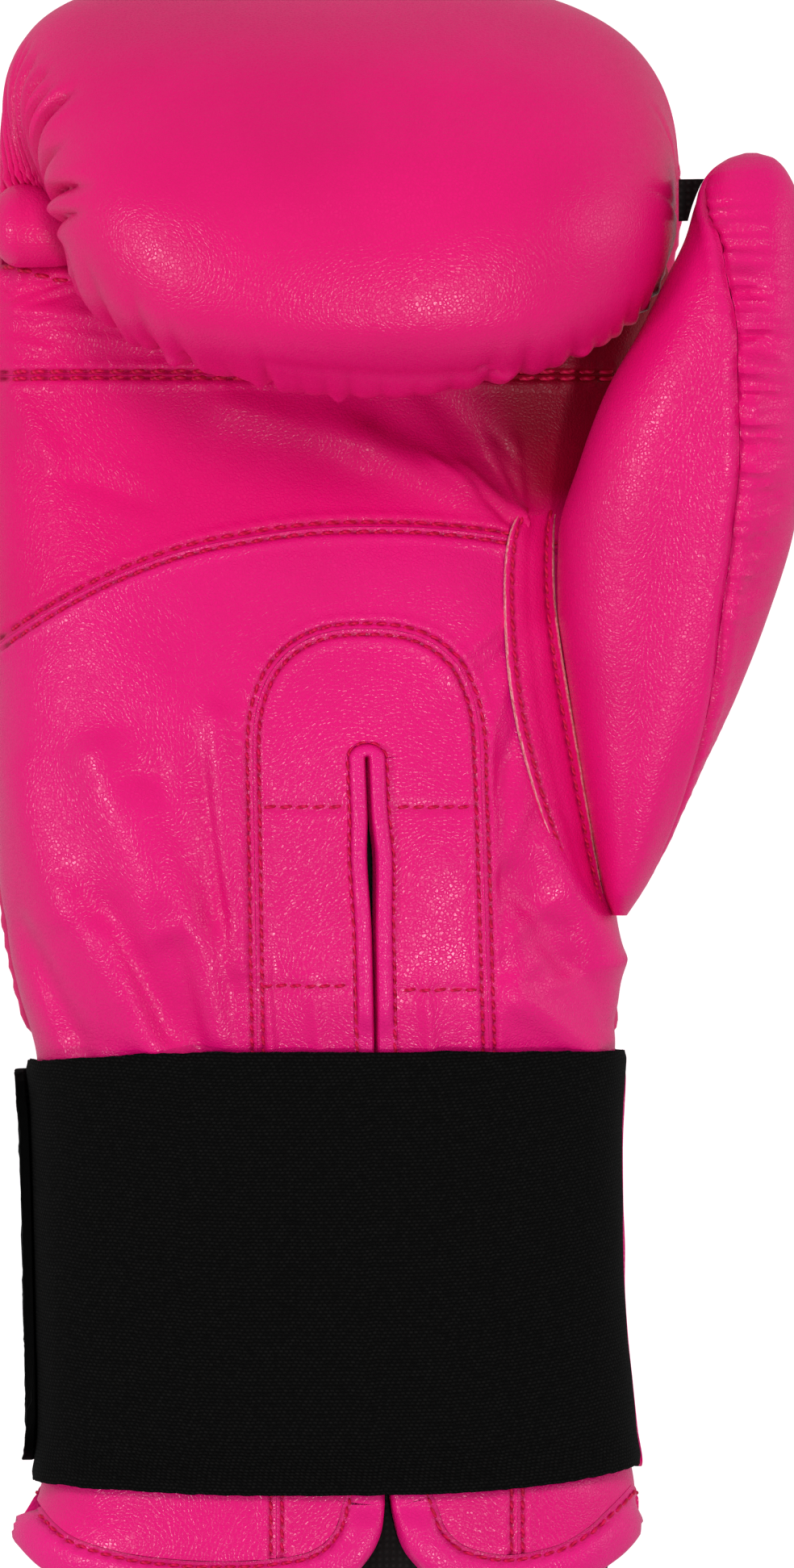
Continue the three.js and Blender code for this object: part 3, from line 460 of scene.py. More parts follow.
# Tucks along the rim of the curl: angle on the section, depth, length and half-width in degrees.
rim_tucks = [
    (175, 0.8, 60, 1.6), (168, 1.9, 44, 1.7), (158, 3.4, 44, 3.2), (151, 1.0, 20, 2.0),
    (145.5, 2.8, 40, 3.0), (138, 1.2, 22, 1.8), (133, 2.4, 36, 2.6), (124.6, 2.2, 26, 1.6),
    (119.5, 0.4, 12, 1.2), (115, 0.5, 14, 1.2), (107, 1.1, 22, 0.8), (101, 0.3, 12, 1.2),
    (96.5, 0.4, 14, 1.2), (92, 0.7, 14, 1.0), (86.5, 0.3, 10, 1.3), (80.5, 0.3, 12, 1.2),
    (74, 0.4, 12, 1.3), (66.8, 1.0, 20, 1.2), (59.6, 1.1, 24, 1.3), (53.6, 0.5, 16, 1.3),
    (48, 1.1, 22, 1.4), (41.6, 0.6, 18, 1.3), (36.5, 0.5, 18, 1.3), (31.5, 1.0, 26, 1.4),
    (25, 0.6, 20, 1.4), (18.5, 0.9, 26, 1.5), (11, 0.6, 26, 1.6)]
# Nubs and dimples where a tuck was sewn twice: degrees round the axis and on the section, size, height.
rim_nubs = [
    (222, 127.8, 1.7, 1.0), (218, 124, 1.0, -1.7), (226, 109.5, 1.4, 0.7), (228, 94.4, 1.2, 1.0),
    (216, 67.2, 1.0, -1.3), (219, 64.4, 0.8, -1.1), (221, 62.4, 1.5, 0.7), (204, 160.5, 1.6, 0.8),
    (192, 170.5, 2.2, 1.0), (188, 166.5, 1.3, -1.4), (222, 45.6, 1.4, 0.6)]
# Pleats that run into the crook: degrees round its axis, depth, how far inwards, half-width.
left_pleats = [
    (58, 0.9, 0.92, 1.8), (68, 1.1, 0.92, 1.7), (77, 1.3, 0.9, 1.7), (86, 1.5, 0.9, 1.6),
    (95, 1.4, 0.88, 1.6), (104, 1.7, 0.88, 1.6), (113, 1.3, 0.88, 1.5), (122, 1.7, 0.86, 1.7),
    (132, 1.4, 0.86, 1.6), (143, 1.9, 0.8, 1.9), (154, 1.2, 0.88, 1.6), (165, 1.9, 0.82, 2.0),
    (180, 1.2, 0.84, 2.0)]
right_pleats = [
    (62, 0.2, 0.94, 2.0), (97, 0.3, 0.93, 2.0), (128, 0.3, 0.93, 2.0), (165, 0.25, 0.93, 2.2)]


def crease_lines(distance, width):
    """A sharp valley: minus exp of the distance over its width, with low shoulders beside it."""
    return -np.exp(-np.abs(distance) / width) + 0.3 * bump((np.abs(distance) - 2.6 * width) / (1.6 * width))


def mitt_relief(grid, phi, turn):
    """What the sewing does to the mitt: pleats fan out of the crook at both sides, each bent a little its
    own way, tucks run up from the rim between low puffs and nubs, a band of leather is turned under
    along the rim's middle, and the leather dips into the side and wrist seams. Beside the relief it
    gives painted shade: darker in the left pleats, along the tucks, at the left side seam and the wrist
    seam."""
    across, crown = squircle(turn, 2.4)
    height = 0.6 * uneven(grid, 31) + 0.16 * uneven(grid, 12)
    fine = 0.5 + 0.5 * uneven(grid, 7, 0.3)
    dark = 0 * height
    for side, pleats in ((-1, left_pleats), (1, right_pleats)):
        for at, depth, inwards, width in pleats:
            bend = phi - at - 9 * (crown - 0.2) * np.sin(at)
            reach = ramp(side * across, inwards - 0.08, 0.5 + inwards / 2)
            height = height + 1.5 * depth * reach * crease_lines(bend, width) * (0.75 + 0.5 * fine)
            # Painted shade in the valley of each pleat on the left side.
            dark = dark + 0.24 * (side < 0) * reach * depth * bump(bend / (0.5 * width))
    degrees = np.degrees(turn)
    for at, depth, run, width in rim_tucks:
        near = ramp(phi, 222 - run, 230)
        lean = 0.05 * (phi - 236) * np.cos(np.radians(at) * 5)
        height = height + depth * near * crease_lines(degrees - at - lean, width)
        # Painted shade along each tuck.
        dark = dark + 0.2 * near * bump((degrees - at - lean) / (0.5 * width))
    for at_phi, at_turn, size, rise in rim_nubs:
        place = fist_point(np.array(float(at_phi)), np.radians(at_turn))
        height = height + rise * bump(np.linalg.norm(grid - place, axis=-1) / size) * (phi > 120)
    band_start = 107
    past = band_start - degrees
    band = ramp(past, 0, 0.9) * (1 - ramp(past, 24, 38)) * ramp(phi, 216, 226)
    fold_line = bump((phi - 213 - 0.12 * past) / 2.2) * ramp(past, -4, 2) * (past < 40)
    height = height + 0.7 * band - 0.5 * fold_line
    height = height + 0.55 * bump((phi - 234) / 12)
    sides = np.minimum(lengths(grid, 1), back_lengths(grid, 1))
    way = lengths(grid, 0)
    gather = np.sin(way * 1.5 + 2.5 * uneven(grid, 12)) * np.where(way < 170, 1, 0.4)
    height = height - 1.5 * bump(sides / 1.5) + (0.3 + 0.18 * gather) * bump((sides - 3.6) / 2.2)
    rounding = np.sin(lengths(grid, 1) * 1.3 + 3 * uneven(grid, 15))
    height = height - 1.4 * bump(way / 1.4) + (0.35 + 0.2 * rounding) * bump((way - 3.4) / 2)
    height = height - 1.0 * bump((rim_phi - phi) / 2.5)
    painted_shade = 0.45 * bump(sides / 1.2) * (degrees > 90) + 0.4 * bump(way / 1.2) + dark
    return height, np.clip(painted_shade, 0, 1)


def mitt_grids():
    """The mitt's outside, pressed flat by the floor, and its inside, which is the outside less the
    padding and the side wall."""
    back_turn = np.pi * (1 + mitt_across)
    fist_turn = np.pi * (1 - mitt_across)
    pad, side = body("pad", mitt_y), body("side", mitt_y)
    fist_side = 7 - 3 * mitt_phi / rim_phi
    outer = np.concatenate([back_point(back_turn, mitt_y), fist_point(mitt_phi, fist_turn)])
    inner = np.concatenate([back_point(back_turn, mitt_y, side, pad),
                            fist_point(mitt_phi, fist_turn, fist("pad", mitt_phi), fist_side)])
    phi = np.concatenate([mitt_y - axis_y, mitt_phi]) + 0 * mitt_across
    height, painted_shade = mitt_relief(outer, phi, fist_turn + 0 * phi)
    outer = swell(outer, height, mitt_middle)
    outer[..., 2] = np.maximum(outer[..., 2], 0)
    return outer, inner, painted_shade


mitt_outer, mitt_inner, mitt_painted_shade = mitt_grids()
mitt = walled("mitt", mitt_outer, mitt_inner, [mitt_leather, inside_cloth], marks={"painted_shade": mitt_painted_shade})
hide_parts("mitt_shell")


# The underside of the curl
# A piece of the same leather closes the foam under the fingertips, from the crook to the rim. It is
# sewn into the rim from inside and lies slack.


def under_curl(phi, sag):
    """The flat sheet at one angle round the axis, from the crook out to the rim, with a slow sag."""
    u = np.linspace(0.02, 1, 25)[:, None]
    turn = np.pi * (1 - np.linspace(0.03, 0.97, 97))[None, :]
    rim = fist_point(np.full_like(turn, rim_phi), turn, 1, 1.5)
    away = np.hypot(rim[..., 1] - axis_y, rim[..., 2] - axis_z)
    reach = crook_radius + 0.5 + (away - crook_radius - 0.5) * u
    swing = phi + sag * np.sin(np.pi * u) * (1 + 0.6 * np.sin(9 * turn))
    angle = np.radians(swing + 0 * turn)
    x = rim[..., 0] + 0 * reach
    return np.stack([x, axis_y + reach * np.sin(angle), axis_z - reach * np.cos(angle)], -1)


curl_under = walled("curl_under", under_curl(rim_phi + 5.5, 0.8), under_curl(rim_phi + 1.2, 0.0),
                    [mitt_leather, inside_cloth])
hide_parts("curl_lining")


# The grip roll
# A firm foam roll in a sleeve of leather lies in the crook of the fingers, where the hand closes on it.
# Its left end shows, smooth and round.


def roll_grids():
    """Circles along X whose radius closes over both ends like a half ellipse. Left of the curl, where
    nothing presses on it, the roll is thicker and stands a little towards the fingertips."""
    left, right = -70.4, 45
    along = (left + (right - left) * (1 - np.cos(np.pi * np.linspace(0, 1, 121))) / 2)[:, None]
    end = np.minimum(np.minimum((along - left) / 5, (right - along) / 9), 1)
    free = ramp(-along, 48, 62)
    size = (5.5 + 1.7 * free) * np.sqrt(1 - (1 - end) ** 2 * 0.985)
    middle = axis_y + 0.6 * free
    turn = np.linspace(0, 2 * np.pi, 65)[None, :-1]
    grid, core = (np.stack([along + 0 * turn, middle + share * size * np.cos(turn),
                            axis_z + share * size * np.sin(turn)], -1) for share in (1, 0.5))
    core[..., 0] = np.clip(core[..., 0], left + 1.2, right - 1.2)
    return grid, core


roll_outer, roll_core = roll_grids()
roll = walled("grip_roll_sleeve", roll_outer, roll_core, [mitt_leather, inside_cloth], joined=True)
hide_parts("grip_roll")


# The palm leather
# Two cuts of thin leather lie between the grip roll and the heel of the hand. They meet in a straight
# seam and end at an arched one, each turned under and stitched down with two rows of crimson thread.

palm_leather = leather("palm leather", pink, 0.24, 0.00008, 0.18)
finger_seam_y, roll_seam_y = 71.8, 91.3
palm_thick = 2.0
# Millimetres across the palm for a radian of the section's angle, about.
turn_size = 45
# Each sewn joint's stitch pitch, and how far its two rows lie from it. Joined pieces end a hair apart.
straight_pitch, straight_row = 3.6, 0.58
arc_pitch, arc_row = 3.1, 0.88
insert_pitch, insert_row = 2.5, 0.98
seam_gap = 0.02
body_middle = np.array([-14, 0, 34])


def through(points, count):
    """A uniform Catmull-Rom curve through points, with that many steps."""
    points = np.array(points, float)
    last = len(points) - 1
    at = np.linspace(0, last, count + 1)
    i = np.minimum(at.astype(int), last - 1)
    t = (at - i)[:, None]
    p0, p1, p2, p3 = (points[np.clip(i + k, 0, last)] for k in (-1, 0, 1, 2))
    return 0.5 * (2 * p1 + (p2 - p0) * t + (2 * p0 - 5 * p1 + 4 * p2 - p3) * t**2
                  + (3 * p1 - p0 - 3 * p2 + p3) * t**3)


def nearest(line, x, y):
    """Distance from each place to a line seen from above, and how far along the line it is nearest."""
    a, d = line[:-1], np.diff(line, axis=0)
    size, starts = np.linalg.norm(d, axis=1), lengths(line, 0)
    best, along = np.full(x.shape, 1e9), np.zeros(x.shape)
    for k in range(len(a)):
        t = np.clip(((x - a[k, 0]) * d[k, 0] + (y - a[k, 1]) * d[k, 1]) / size[k] ** 2, 0, 1)
        away = np.hypot(x - a[k, 0] - t * d[k, 0], y - a[k, 1] - t * d[k, 1])
        closer = away < best
        best = np.where(closer, away, best)
        along = np.where(closer, starts[k] + t * size[k], along)
    return best, along


arc_seam = through([(-78, 18), (-68.9, 25.3), (-59.1, 31.6), (-47.9, 37.2), (-36.7, 41.3), (-26.9, 43.4),
                    (-15.7, 44.9), (-1.7, 45.4), (9.5, 44.8), (19.3, 43.4), (32, 40.5), (48, 35)], 44)
insert_middle, insert_half, insert_shoulder, insert_top = -5.25, 19.65, 6, 27.7
# Its straight sides: x and y of the foot on both sides, x of the waist on each, and the waist's y.
insert_foot, insert_foot_y, insert_waist, insert_waist_y = 20.9, -122, {-1: -23.9, 1: 16.4}, -60
past_hem_y = -150


def over_top(count):
    """Angles at even steps from the left over the top to the right."""
    return np.pi * (1 - np.linspace(0, 1, count))


def insert_edge(grow, count=49):
    """Outline of the tongue-shaped insert from its left foot over the rounded top to its right foot."""
    across, up = squircle(over_top(count), 2.5)
    top = np.stack([insert_middle + (insert_half + grow) * across,
                    insert_shoulder + (insert_top + grow - insert_shoulder) * up], -1)
    left, right = ([(side * (insert_foot + grow), past_hem_y), (side * (insert_foot + grow), insert_foot_y),
                    (insert_waist[side] + side * grow, insert_waist_y)] for side in (-1, 1))
    return np.concatenate([left, top, right[::-1]])


insert_seam = insert_edge(0)
# Stitched lines that only press into the leather: y, and x from and to.
cross_rows = [(-3.1, -23.8, -8.9), (-3.1, -0.6, 13.2), (-34.0, -24.0, -8.3), (-34.7, 0.4, 14.6)]
# Small wrinkles of the palm, sharper than its folds.
palm_wrinkles = [
    (12, 55, 20.5, 47.5, 1.1, 0.9), (16.5, 58, 21.5, 46.5, 0.9, 0.8), (20.5, 59, 22, 47, 0.9, 0.7),
    (7.4, 56.1, 12.6, 52.5, 1.0, 0.7), (17.8, 60.4, 19.6, 58, 0.8, -0.5), (14, 52, 19.6, 46, 0.7, -0.6),
    (9, 20.5, 18.5, 29.5, 1.3, 0.55), (12, 17, 19, 24, 1.1, -0.35), (15.6, 6, 18.6, 18, 1.4, 0.6),
    (17, -2, 20, 9, 1.2, -0.4), (17.4, -14, 21.5, -4, 1.4, 0.5), (18, -27, 26, -20, 1.5, 0.5),
    (17, -35, 24, -30, 1.2, 0.4), (24, -24, 32, -29, 1.4, 0.45), (28, -34, 37, -30, 1.3, 0.4),
    (-68, 86.4, -57, 88.2, 0.6, -0.5), (-67, 85, -60, 87, 0.6, -0.5), (-63, 84.2, -55, 86.6, 0.7, -0.5),
    (-66, 83.4, -47, 81.2, 1.6, 0.9), (-58, 79, -44, 77.4, 1.3, 0.4), (-70, 78, -62, 76.6, 1.1, 0.4),
    (-66, -24, -54, -48, 2.2, -1.1), (-50, -26, -41, -48, 2.4, 1.2), (-23, -32, -21.5, -47, 1.1, 0.6),
    (-40, -22, -34, -48, 2.2, -1.0), (-15, -34, -13, -46, 1.2, 0.5), (5, -35, 6, -46, 1.2, 0.5),
    (-52, 6, -40, -24, 4.6, 1.7), (-42, 2, -32, -22, 3.4, -1.3), (-31, 12, -27.6, -30, 2.6, 1.4),
    (-66, 4, -60, -22, 4.0, 1.2), (19, 4, 17.6, -34, 2.2, -1.0), (20, -16, 29, -30, 2.8, -1.5),
    (26, -10, 37, -30, 3.0, 1.5), (20.6, -36, 33, -45, 2.4, 1.4), (30, -24, 37, -40, 2.4, -1.0),
    (-29, 66.5, -6, 60, 3.6, 1.0), (-6, 60, 10, 53.5, 3.2, 0.9), (-66, 68, -60, 57, 2.6, 0.7),
    (-62, 56, -44, 50, 2.4, -0.5)]


def turn_over(x, y):
    """The section angle of the palm's point over a place: the superellipse solved for its height."""
    middle, half = body_width(y)
    across = np.clip((x - middle) / half, -1, 1)
    up = (1 - np.abs(across) ** section_square) ** (1 / section_square)
    return np.arctan2(up, across)


def seam_relief(away, along, pitch, row):
    """Relief and painted shade of a joint with a stitch row on each side: a faint ridge at the joint, a
    little painted shade along it, the rows drawn in and darkened by painted shade where the thread goes
    through, and past them a low, uneven puff."""
    pull = 0.5 + 0.5 * np.cos(2 * np.pi * along / pitch)
    height = 0.1 * bump(away / 0.3) - (0.2 + 0.34 * pull) * bump((away - row) / 0.34)
    height = height + (0.12 + 0.22 * (1 - pull)) * bump((away - row - 1.15) / 0.8)
    return height, 0.15 * bump(away / 0.2) + (0.2 + 0.7 * pull**2) * bump((away - row) / 0.38)


def palm_finish(x, y, points):
    """All the small relief of the palm side: seams, rows, wrinkles and the grip roll's edge; and its
    painted shade, darker along the seams, rows and the roll's edge, with a painted shadow in the corner
    between the curl and the thumb."""
    height = 0.8 * uneven(points, 26, 0.5) + 0.26 * uneven(points, 10, 0.2)
    height = height * ramp(y, strap_top - 2, strap_top + 8) + fold_height(palm_wrinkles, x, y, 3)
    painted_shade = np.zeros_like(height)
    seams = [(np.abs(y - finger_seam_y), x, straight_pitch, straight_row),
             (*nearest(arc_seam, x, y), arc_pitch, arc_row),
             (*nearest(insert_seam, x, y), insert_pitch, insert_row)]
    for away, along, pitch, row in seams:
        dent, dark = seam_relief(away, along, pitch, row)
        height, painted_shade = height + dent, painted_shade + dark
    edge = np.abs(y - roll_seam_y)
    height = height - 1.1 * bump(edge / 1.2) + 0.25 * np.sin(x * 1.6) * bump((edge - 2.4) / 1.6)
    for row_y, x0, x1 in cross_rows:
        on = ramp(x, x0 - 0.5, x0 + 0.5) * (1 - ramp(x, x1 - 0.5, x1 + 0.5)) * bump((y - row_y) / 0.7)
        height, painted_shade = height - 0.35 * on, painted_shade + 0.14 * on
    # Painted shadow: the palm's colour darkened in the corner under the curl's right end beside the thumb,
    # and below painted shade along the grip roll's seam.
    shade = 1.35 * ramp(x + 0.35 * (y - 60), 5, 25) * ramp(y, 44, 53)
    return height, np.clip(painted_shade + 0.6 * bump(edge / 1.0) + 0.7 * shade, 0, 1)


def palm_sheet(name, turn, y, skin):
    """A cut of palm leather over a grid of section angles and y: the body's surface with its small
    relief, rolled under along the side seams, over the same surface one thickness further in."""
    base = body_point(turn, y)
    height, painted_shade = palm_finish(base[..., 0], base[..., 1], base)
    side = np.minimum(turn, np.pi - turn) * turn_size
    height = height * ramp(side, 0, 3) - 1.2 * bump(side / 1.4)
    # Its painted shade is darker where the leather rolls under along the side seams.
    piece = walled(name, swell(base, height, body_middle), body_point(turn, y, palm_thick, palm_thick),
                   [skin, inside_cloth], marks={"painted_shade": np.maximum(painted_shade, 0.7 * bump(side / 1.2))})
    return piece


def toward_ends(count, mixing=0.65):
    """Steps from 0 to 1 that are closer together near both ends, where the stitches are."""
    t = np.linspace(0, 1, count)
    return (1 - mixing) * t + mixing * (1 - np.cos(np.pi * t)) / 2


palm_turn = over_top(241)[None, :]
finger_rows = toward_ends(41)[:, None]
finger_y = finger_seam_y + seam_gap + (roll_seam_y - 0.37 - finger_seam_y) * finger_rows
finger_leather = palm_sheet("finger_leather", palm_turn + 0 * finger_y, finger_y + 0 * palm_turn,
                            palm_leather)
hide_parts("finger_panel")


def arc_y(turn):
    """y of the arched seam at a section angle, found by looking up the arch over the point's x again."""
    y = np.full_like(turn, 40.0)
    for _ in range(6):
        x = body_point(turn, y)[..., 0]
        y = np.interp(x, arc_seam[:, 0], arc_seam[:, 1])
    return y


arc_line = arc_y(palm_turn)
palm_rows = toward_ends(81)[:, None]
palm_y = arc_line + seam_gap + (finger_seam_y - arc_line - 2 * seam_gap) * palm_rows
hand_leather = palm_sheet("palm_leather_cut", palm_turn + 0 * palm_y, palm_y, palm_leather)
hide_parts("palm_panel")


def thread_skin():
    """Crimson sewing thread: two twisted plies as slanted bands, a little glossy."""
    skin, tree = new_skin("crimson thread")
    place = on_piece(tree)
    twist = node(tree, "ShaderNodeTexWave", {"Vector": place, "Scale": 420.0, "Distortion": 1.5},
                 bands_direction="DIAGONAL").outputs["Fac"]
    colour = mixed(tree, twist, (0.4, 0.001, 0.03, 1), (0.68, 0.004, 0.08, 1))
    return finished(skin, colour, 0.6, 0.2, twist, 0.00012)


crimson_thread = thread_skin()


def stitches(name, rows, size=0.29):
    """Stitches along paths, each path its points, its normals and the stitch pitch. A stitch is a tube
    of six sides and seven rings: thickest in its middle, a little slanted, and sunk at both ends."""
    sides, rings = 6, 7
    ring = np.linspace(0, 2 * np.pi, sides + 1)[:-1]
    t = np.linspace(0, 1, rings)
    swellings = np.sqrt(np.clip(1 - (2 * t - 1) ** 4, 0.03, 1))[None, :, None]
    rise = (size * (1.0 * np.sin(np.pi * t) ** 0.5 - 0.55))[None, :, None]
    slant = (0.55 * size * (2 * t - 1))[None, :, None]
    all_points, count = [], 0
    for path, normal, pitch in rows:
        run = lengths(path, 0)
        number = max(1, int(run[-1] / pitch))
        starts = (np.arange(number) + 0.06) * run[-1] / number
        at = starts[:, None] + t[None, :] * (run[-1] / number) * 0.88
        centre = np.stack([np.interp(at, run, path[:, k]) for k in range(3)], -1)
        up = np.stack([np.interp(at, run, normal[:, k]) for k in range(3)], -1)
        aside = np.cross(up, unit(np.gradient(centre, axis=1)))
        centre = centre + up * rise + aside * slant
        tube = centre[:, :, None] + size * swellings[..., None] * (
            np.cos(ring)[:, None] * aside[:, :, None] + 0.85 * np.sin(ring)[:, None] * up[:, :, None])
        all_points.append(tube.reshape(-1, 3))
        count += number
    points = np.concatenate(all_points)
    points[:, 2] = np.maximum(points[:, 2], 0.02)
    base = (np.arange(count) * sides * rings)[:, None, None]
    grid = np.arange(sides * rings).reshape(rings, sides)
    grid = np.c_[grid, grid[:, :1]]
    quads = np.stack([grid[:-1, :-1], grid[:-1, 1:], grid[1:, 1:], grid[1:, :-1]], -1).reshape(1, -1, 4)
    ends = np.stack([grid[0, :-1][::-1], grid[-1, :-1]])[None]
    piece = mesh_piece(name, points, [(base + quads).reshape(-1, 4), (base + ends).reshape(-1, sides)],
                       [0, 0], [crimson_thread])


def palm_normal(turn, y):
    """Unit normals of the palm, from small steps of the angle and of y."""
    n = unit(np.cross(body_point(turn + 0.01, y) - body_point(turn - 0.01, y),
                      body_point(turn, y + 0.4) - body_point(turn, y - 0.4)))
    return np.where(n[..., 2:] < 0, -n, n)


def over_palm(line):
    """A line seen from above carried onto the finished palm: its points at even steps, and the normals
    there."""
    run = lengths(line, 0)
    at = np.linspace(0, run[-1], max(2, int(run[-1] / 0.6)))
    x, y = np.interp(at, run, line[:, 0]), np.interp(at, run, line[:, 1])
    turn = turn_over(x, y)
    base, normal = body_point(turn, y), palm_normal(turn, y)
    height, _ = palm_finish(x, y, base)
    return base + normal * (height + 0.05)[:, None], normal


def beside(line, offset):
    """A line seen from above, moved sideways to its left."""
    d = unit(np.gradient(line, axis=0))
    return line + offset * np.stack([-d[:, 1], d[:, 0]], -1)


def body_sides(line):
    """The part of a line that lies on the palm, clear of the side seams."""
    x, y = line[:, 0], line[:, 1]
    margin = 3.0
    return line[(x > body("left", y) + margin) & (x < body("right", y) - margin)]


def rows_beside(line, offset, pitch):
    """Two stitch rows, one on each side of a line."""
    return [(*over_palm(body_sides(beside(line, side * offset))), pitch) for side in (-1, 1)]


straight = np.stack([np.linspace(-72, 48, 121), np.full(121, finger_seam_y)], -1)
fine_arc = through(arc_seam, 170)
stitches("palm_stitches", rows_beside(straight, straight_row, straight_pitch), size=0.4)
stitches("arc_stitches", rows_beside(fine_arc, arc_row, arc_pitch), size=0.32)
roll_x = np.linspace(-69.5, -50, 40)
roll_line = np.stack([roll_x, 90.6 - 2.6 * ramp(roll_x, -70, -56)], -1)
stitches("roll_stitches", [(*over_palm(roll_line), arc_pitch)], size=0.36)


# The heel of the hand and the insert round the slit
# The heel's leather runs down under the strap to the cuff's hem. A tongue-shaped insert is let into it
# round the slit, held by two rows of stitches, with two short rows across it where a pad is fixed.

slit = table("y x half binding", [
    (5.4, -5.2, 0.25, 3.4), (-4, -4.8, 0.3, 3.4), (-12, -4.4, 0.75, 3.3), (-26, -4, 0.3, 3.4),
    (-46, -3.6, 0.25, 3.5), (-100, -2.4, 0.3, 4.2), (-118, -1.8, 0.4, 6.2), (-124, -1.4, 0.7, 7.2)])
hems = {
    -1: [(-2.8, -129), (-5, -133.4), (-9, -137.4), (-16, -140.2), (-30, -141.4), (-46, -140.4),
         (-58, -137.4), (-64.5, -133.4), (-70, -127.5)],
    1: [(0.9, -130), (3.4, -134), (8, -137.8), (15, -140), (22, -140.2), (31, -138.2), (37.5, -134.6),
        (41.5, -131.2), (46, -127)]}
hem_binding = 7.6
slit_top_x, slit_top_y, band_radius, band_clear = -5.2, 5.2, 3.65, 0.04


def flap_edge(side):
    """A flap's edge from the slit's top to the hem and out to the side, the binding's width there, and
    the direction across it into the leather."""
    y = np.concatenate([np.linspace(5.4, -12, 40), np.linspace(-12, -124, 150)[1:]])
    down = np.stack([slit("x", y) + side * slit("half", y), y], -1)
    hem = through([down[-1], *hems[side]], 150)[1:]
    line = np.concatenate([down, hem])
    width = np.concatenate([slit("binding", y), np.full(len(hem), hem_binding)])
    smooth = np.convolve(np.pad(width, 12, mode="edge"), np.ones(25) / 25, "valid")
    d = unit(np.gradient(line, axis=0))
    return line, smooth, np.stack([-side * d[:, 1], side * d[:, 0]], -1)


def band_top(radius):
    """The binding's round top, from its left to its right."""
    turn = over_top(33)
    return np.stack([slit_top_x + radius * np.cos(turn), slit_top_y + (radius - 0.6) * np.sin(turn)], -1)


def band_edge(side):
    """The binding's inner edge at one side, from the slit's top to the hem, and clear of it by a hair."""
    line, width, normal = flap_edge(side)
    return line + normal * (width + band_clear)[:, None]


def evenly(line, count, mixing=0.0):
    """A line at that many places, evenly spaced along it or closer together near its ends."""
    run = lengths(line, 0)
    at = toward_ends(count, mixing) * run[-1]
    return np.stack([np.interp(at, run, line[:, k]) for k in range(line.shape[1])], -1)


def patch(inner, outer, first, last):
    """A grid between four lines: the two pairs' straight blends added, less the blend of the corners.
    Rows run from inner to outer, and columns from first to last."""
    u = toward_ends(len(first))[:, None, None]
    v = np.linspace(0, 1, len(inner))[None, :, None]
    ruled = (1 - u) * inner[None] + u * outer[None] + (1 - v) * first[:, None] + v * last[:, None]
    corners = ((1 - u) * ((1 - v) * inner[0] + v * inner[-1]) + u * ((1 - v) * outer[0] + v * outer[-1]))
    return ruled - corners


band_left, band_right = band_edge(-1)[::-1], band_edge(1)
heel_skin = leather("heel leather", (0.77, 0.004, 0.18), 0.23, 0.00008)


def hem_line(side):
    """The inner edge of the hem's binding, outside the insert's foot, sorted from the insert outwards."""
    line = band_left if side < 0 else band_right
    line = line[line[:, 1] < insert_foot_y]
    reach = side * line[:, 0]
    near = reach > insert_foot - 0.3
    line = line[near & (reach < side * body("left" if side < 0 else "right", -125))]
    return line[np.argsort(side * line[:, 0])]


def insert_side(side, grow):
    """The insert's straight side from its foot on the binding up to the shoulder."""
    foot_x = side * (insert_foot + grow)
    hem = band_left if side < 0 else band_right
    hem = hem[hem[:, 1] < insert_foot_y]
    order = np.argsort(hem[:, 0])
    foot_y = np.interp(foot_x, hem[order, 0], hem[order, 1])
    return np.array([(foot_x, foot_y), (foot_x, insert_foot_y),
                     (insert_waist[side] + side * grow, insert_waist_y),
                     (side * insert_half + insert_middle + side * grow, insert_shoulder)])


def as_turn(line):
    """A line seen from above as section angle and y."""
    return np.stack([turn_over(line[:, 0], line[:, 1]), line[:, 1]], -1)


def heel_grid():
    """The heel as a horseshoe of three patches round the insert, in section angle and y."""
    rows, side_places, top_places = 97, 161, 121
    parts = []
    shoulder_turn = {}
    u = toward_ends(rows)
    for side in (-1, 1):
        foot_to_shoulder = evenly(insert_side(side, seam_gap), side_places)
        edge_turn = np.pi if side < 0 else 0.0
        top_y = float(arc_y(np.array([edge_turn]))[0]) - seam_gap
        hem = hem_line(side)
        hem = np.concatenate([[foot_to_shoulder[0]], hem[side * hem[:, 0] > side * foot_to_shoulder[0, 0]]])
        bottom = as_turn(hem)
        low_y = bottom[-1, 1] + 0.4
        bottom = np.concatenate([bottom, [[edge_turn, low_y]]])
        bottom = evenly(bottom * [turn_size, 1], rows, 0.65) / [turn_size, 1]
        inner = as_turn(foot_to_shoulder)
        outer = np.stack([np.full(side_places, edge_turn), np.linspace(low_y, top_y, side_places)], -1)
        shoulder_turn[side] = inner[-1] + (outer[-1] - inner[-1]) * u[:, None]
        grid = patch(inner, outer, bottom, shoulder_turn[side])
        parts.append(grid if side < 0 else grid[:, ::-1])
    crown = insert_edge(seam_gap, top_places)[3:-3]
    arch_turn = np.linspace(np.pi, 0, top_places)
    arch = np.stack([arch_turn, arc_y(arch_turn) - seam_gap], -1)
    top = patch(as_turn(crown), arch, shoulder_turn[-1], shoulder_turn[1])
    return np.concatenate([parts[0], top[:, 1:-1], parts[1]], axis=1)


heel_places = heel_grid()
heel_leather = palm_sheet("heel_leather", heel_places[..., 0], heel_places[..., 1], heel_skin)
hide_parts("heel_panel")


def insert_grid():
    """The insert between the band round the slit and its own outline, as lines from one to the other."""
    sides = []
    for side, band in ((-1, band_left), (1, band_right[::-1])):
        inner = evenly(band[side * band[:, 0] < 20.8], 161)
        outline = insert_side(side, -seam_gap)
        outline[0, 1] += 0.4
        sides.append((inner, evenly(outline, 161)))
    arch, crown = evenly(band_top(band_radius + band_clear), 57), insert_edge(-seam_gap, 57)[3:-3]
    inner = np.concatenate([sides[0][0], arch[1:-1], sides[1][0][::-1]])
    outer = np.concatenate([sides[0][1], crown[1:-1], sides[1][1][::-1]])
    u = toward_ends(49)[:, None, None]
    grid = (1 - u) * inner + u * outer
    return turn_over(grid[..., 0], grid[..., 1]), grid[..., 1]


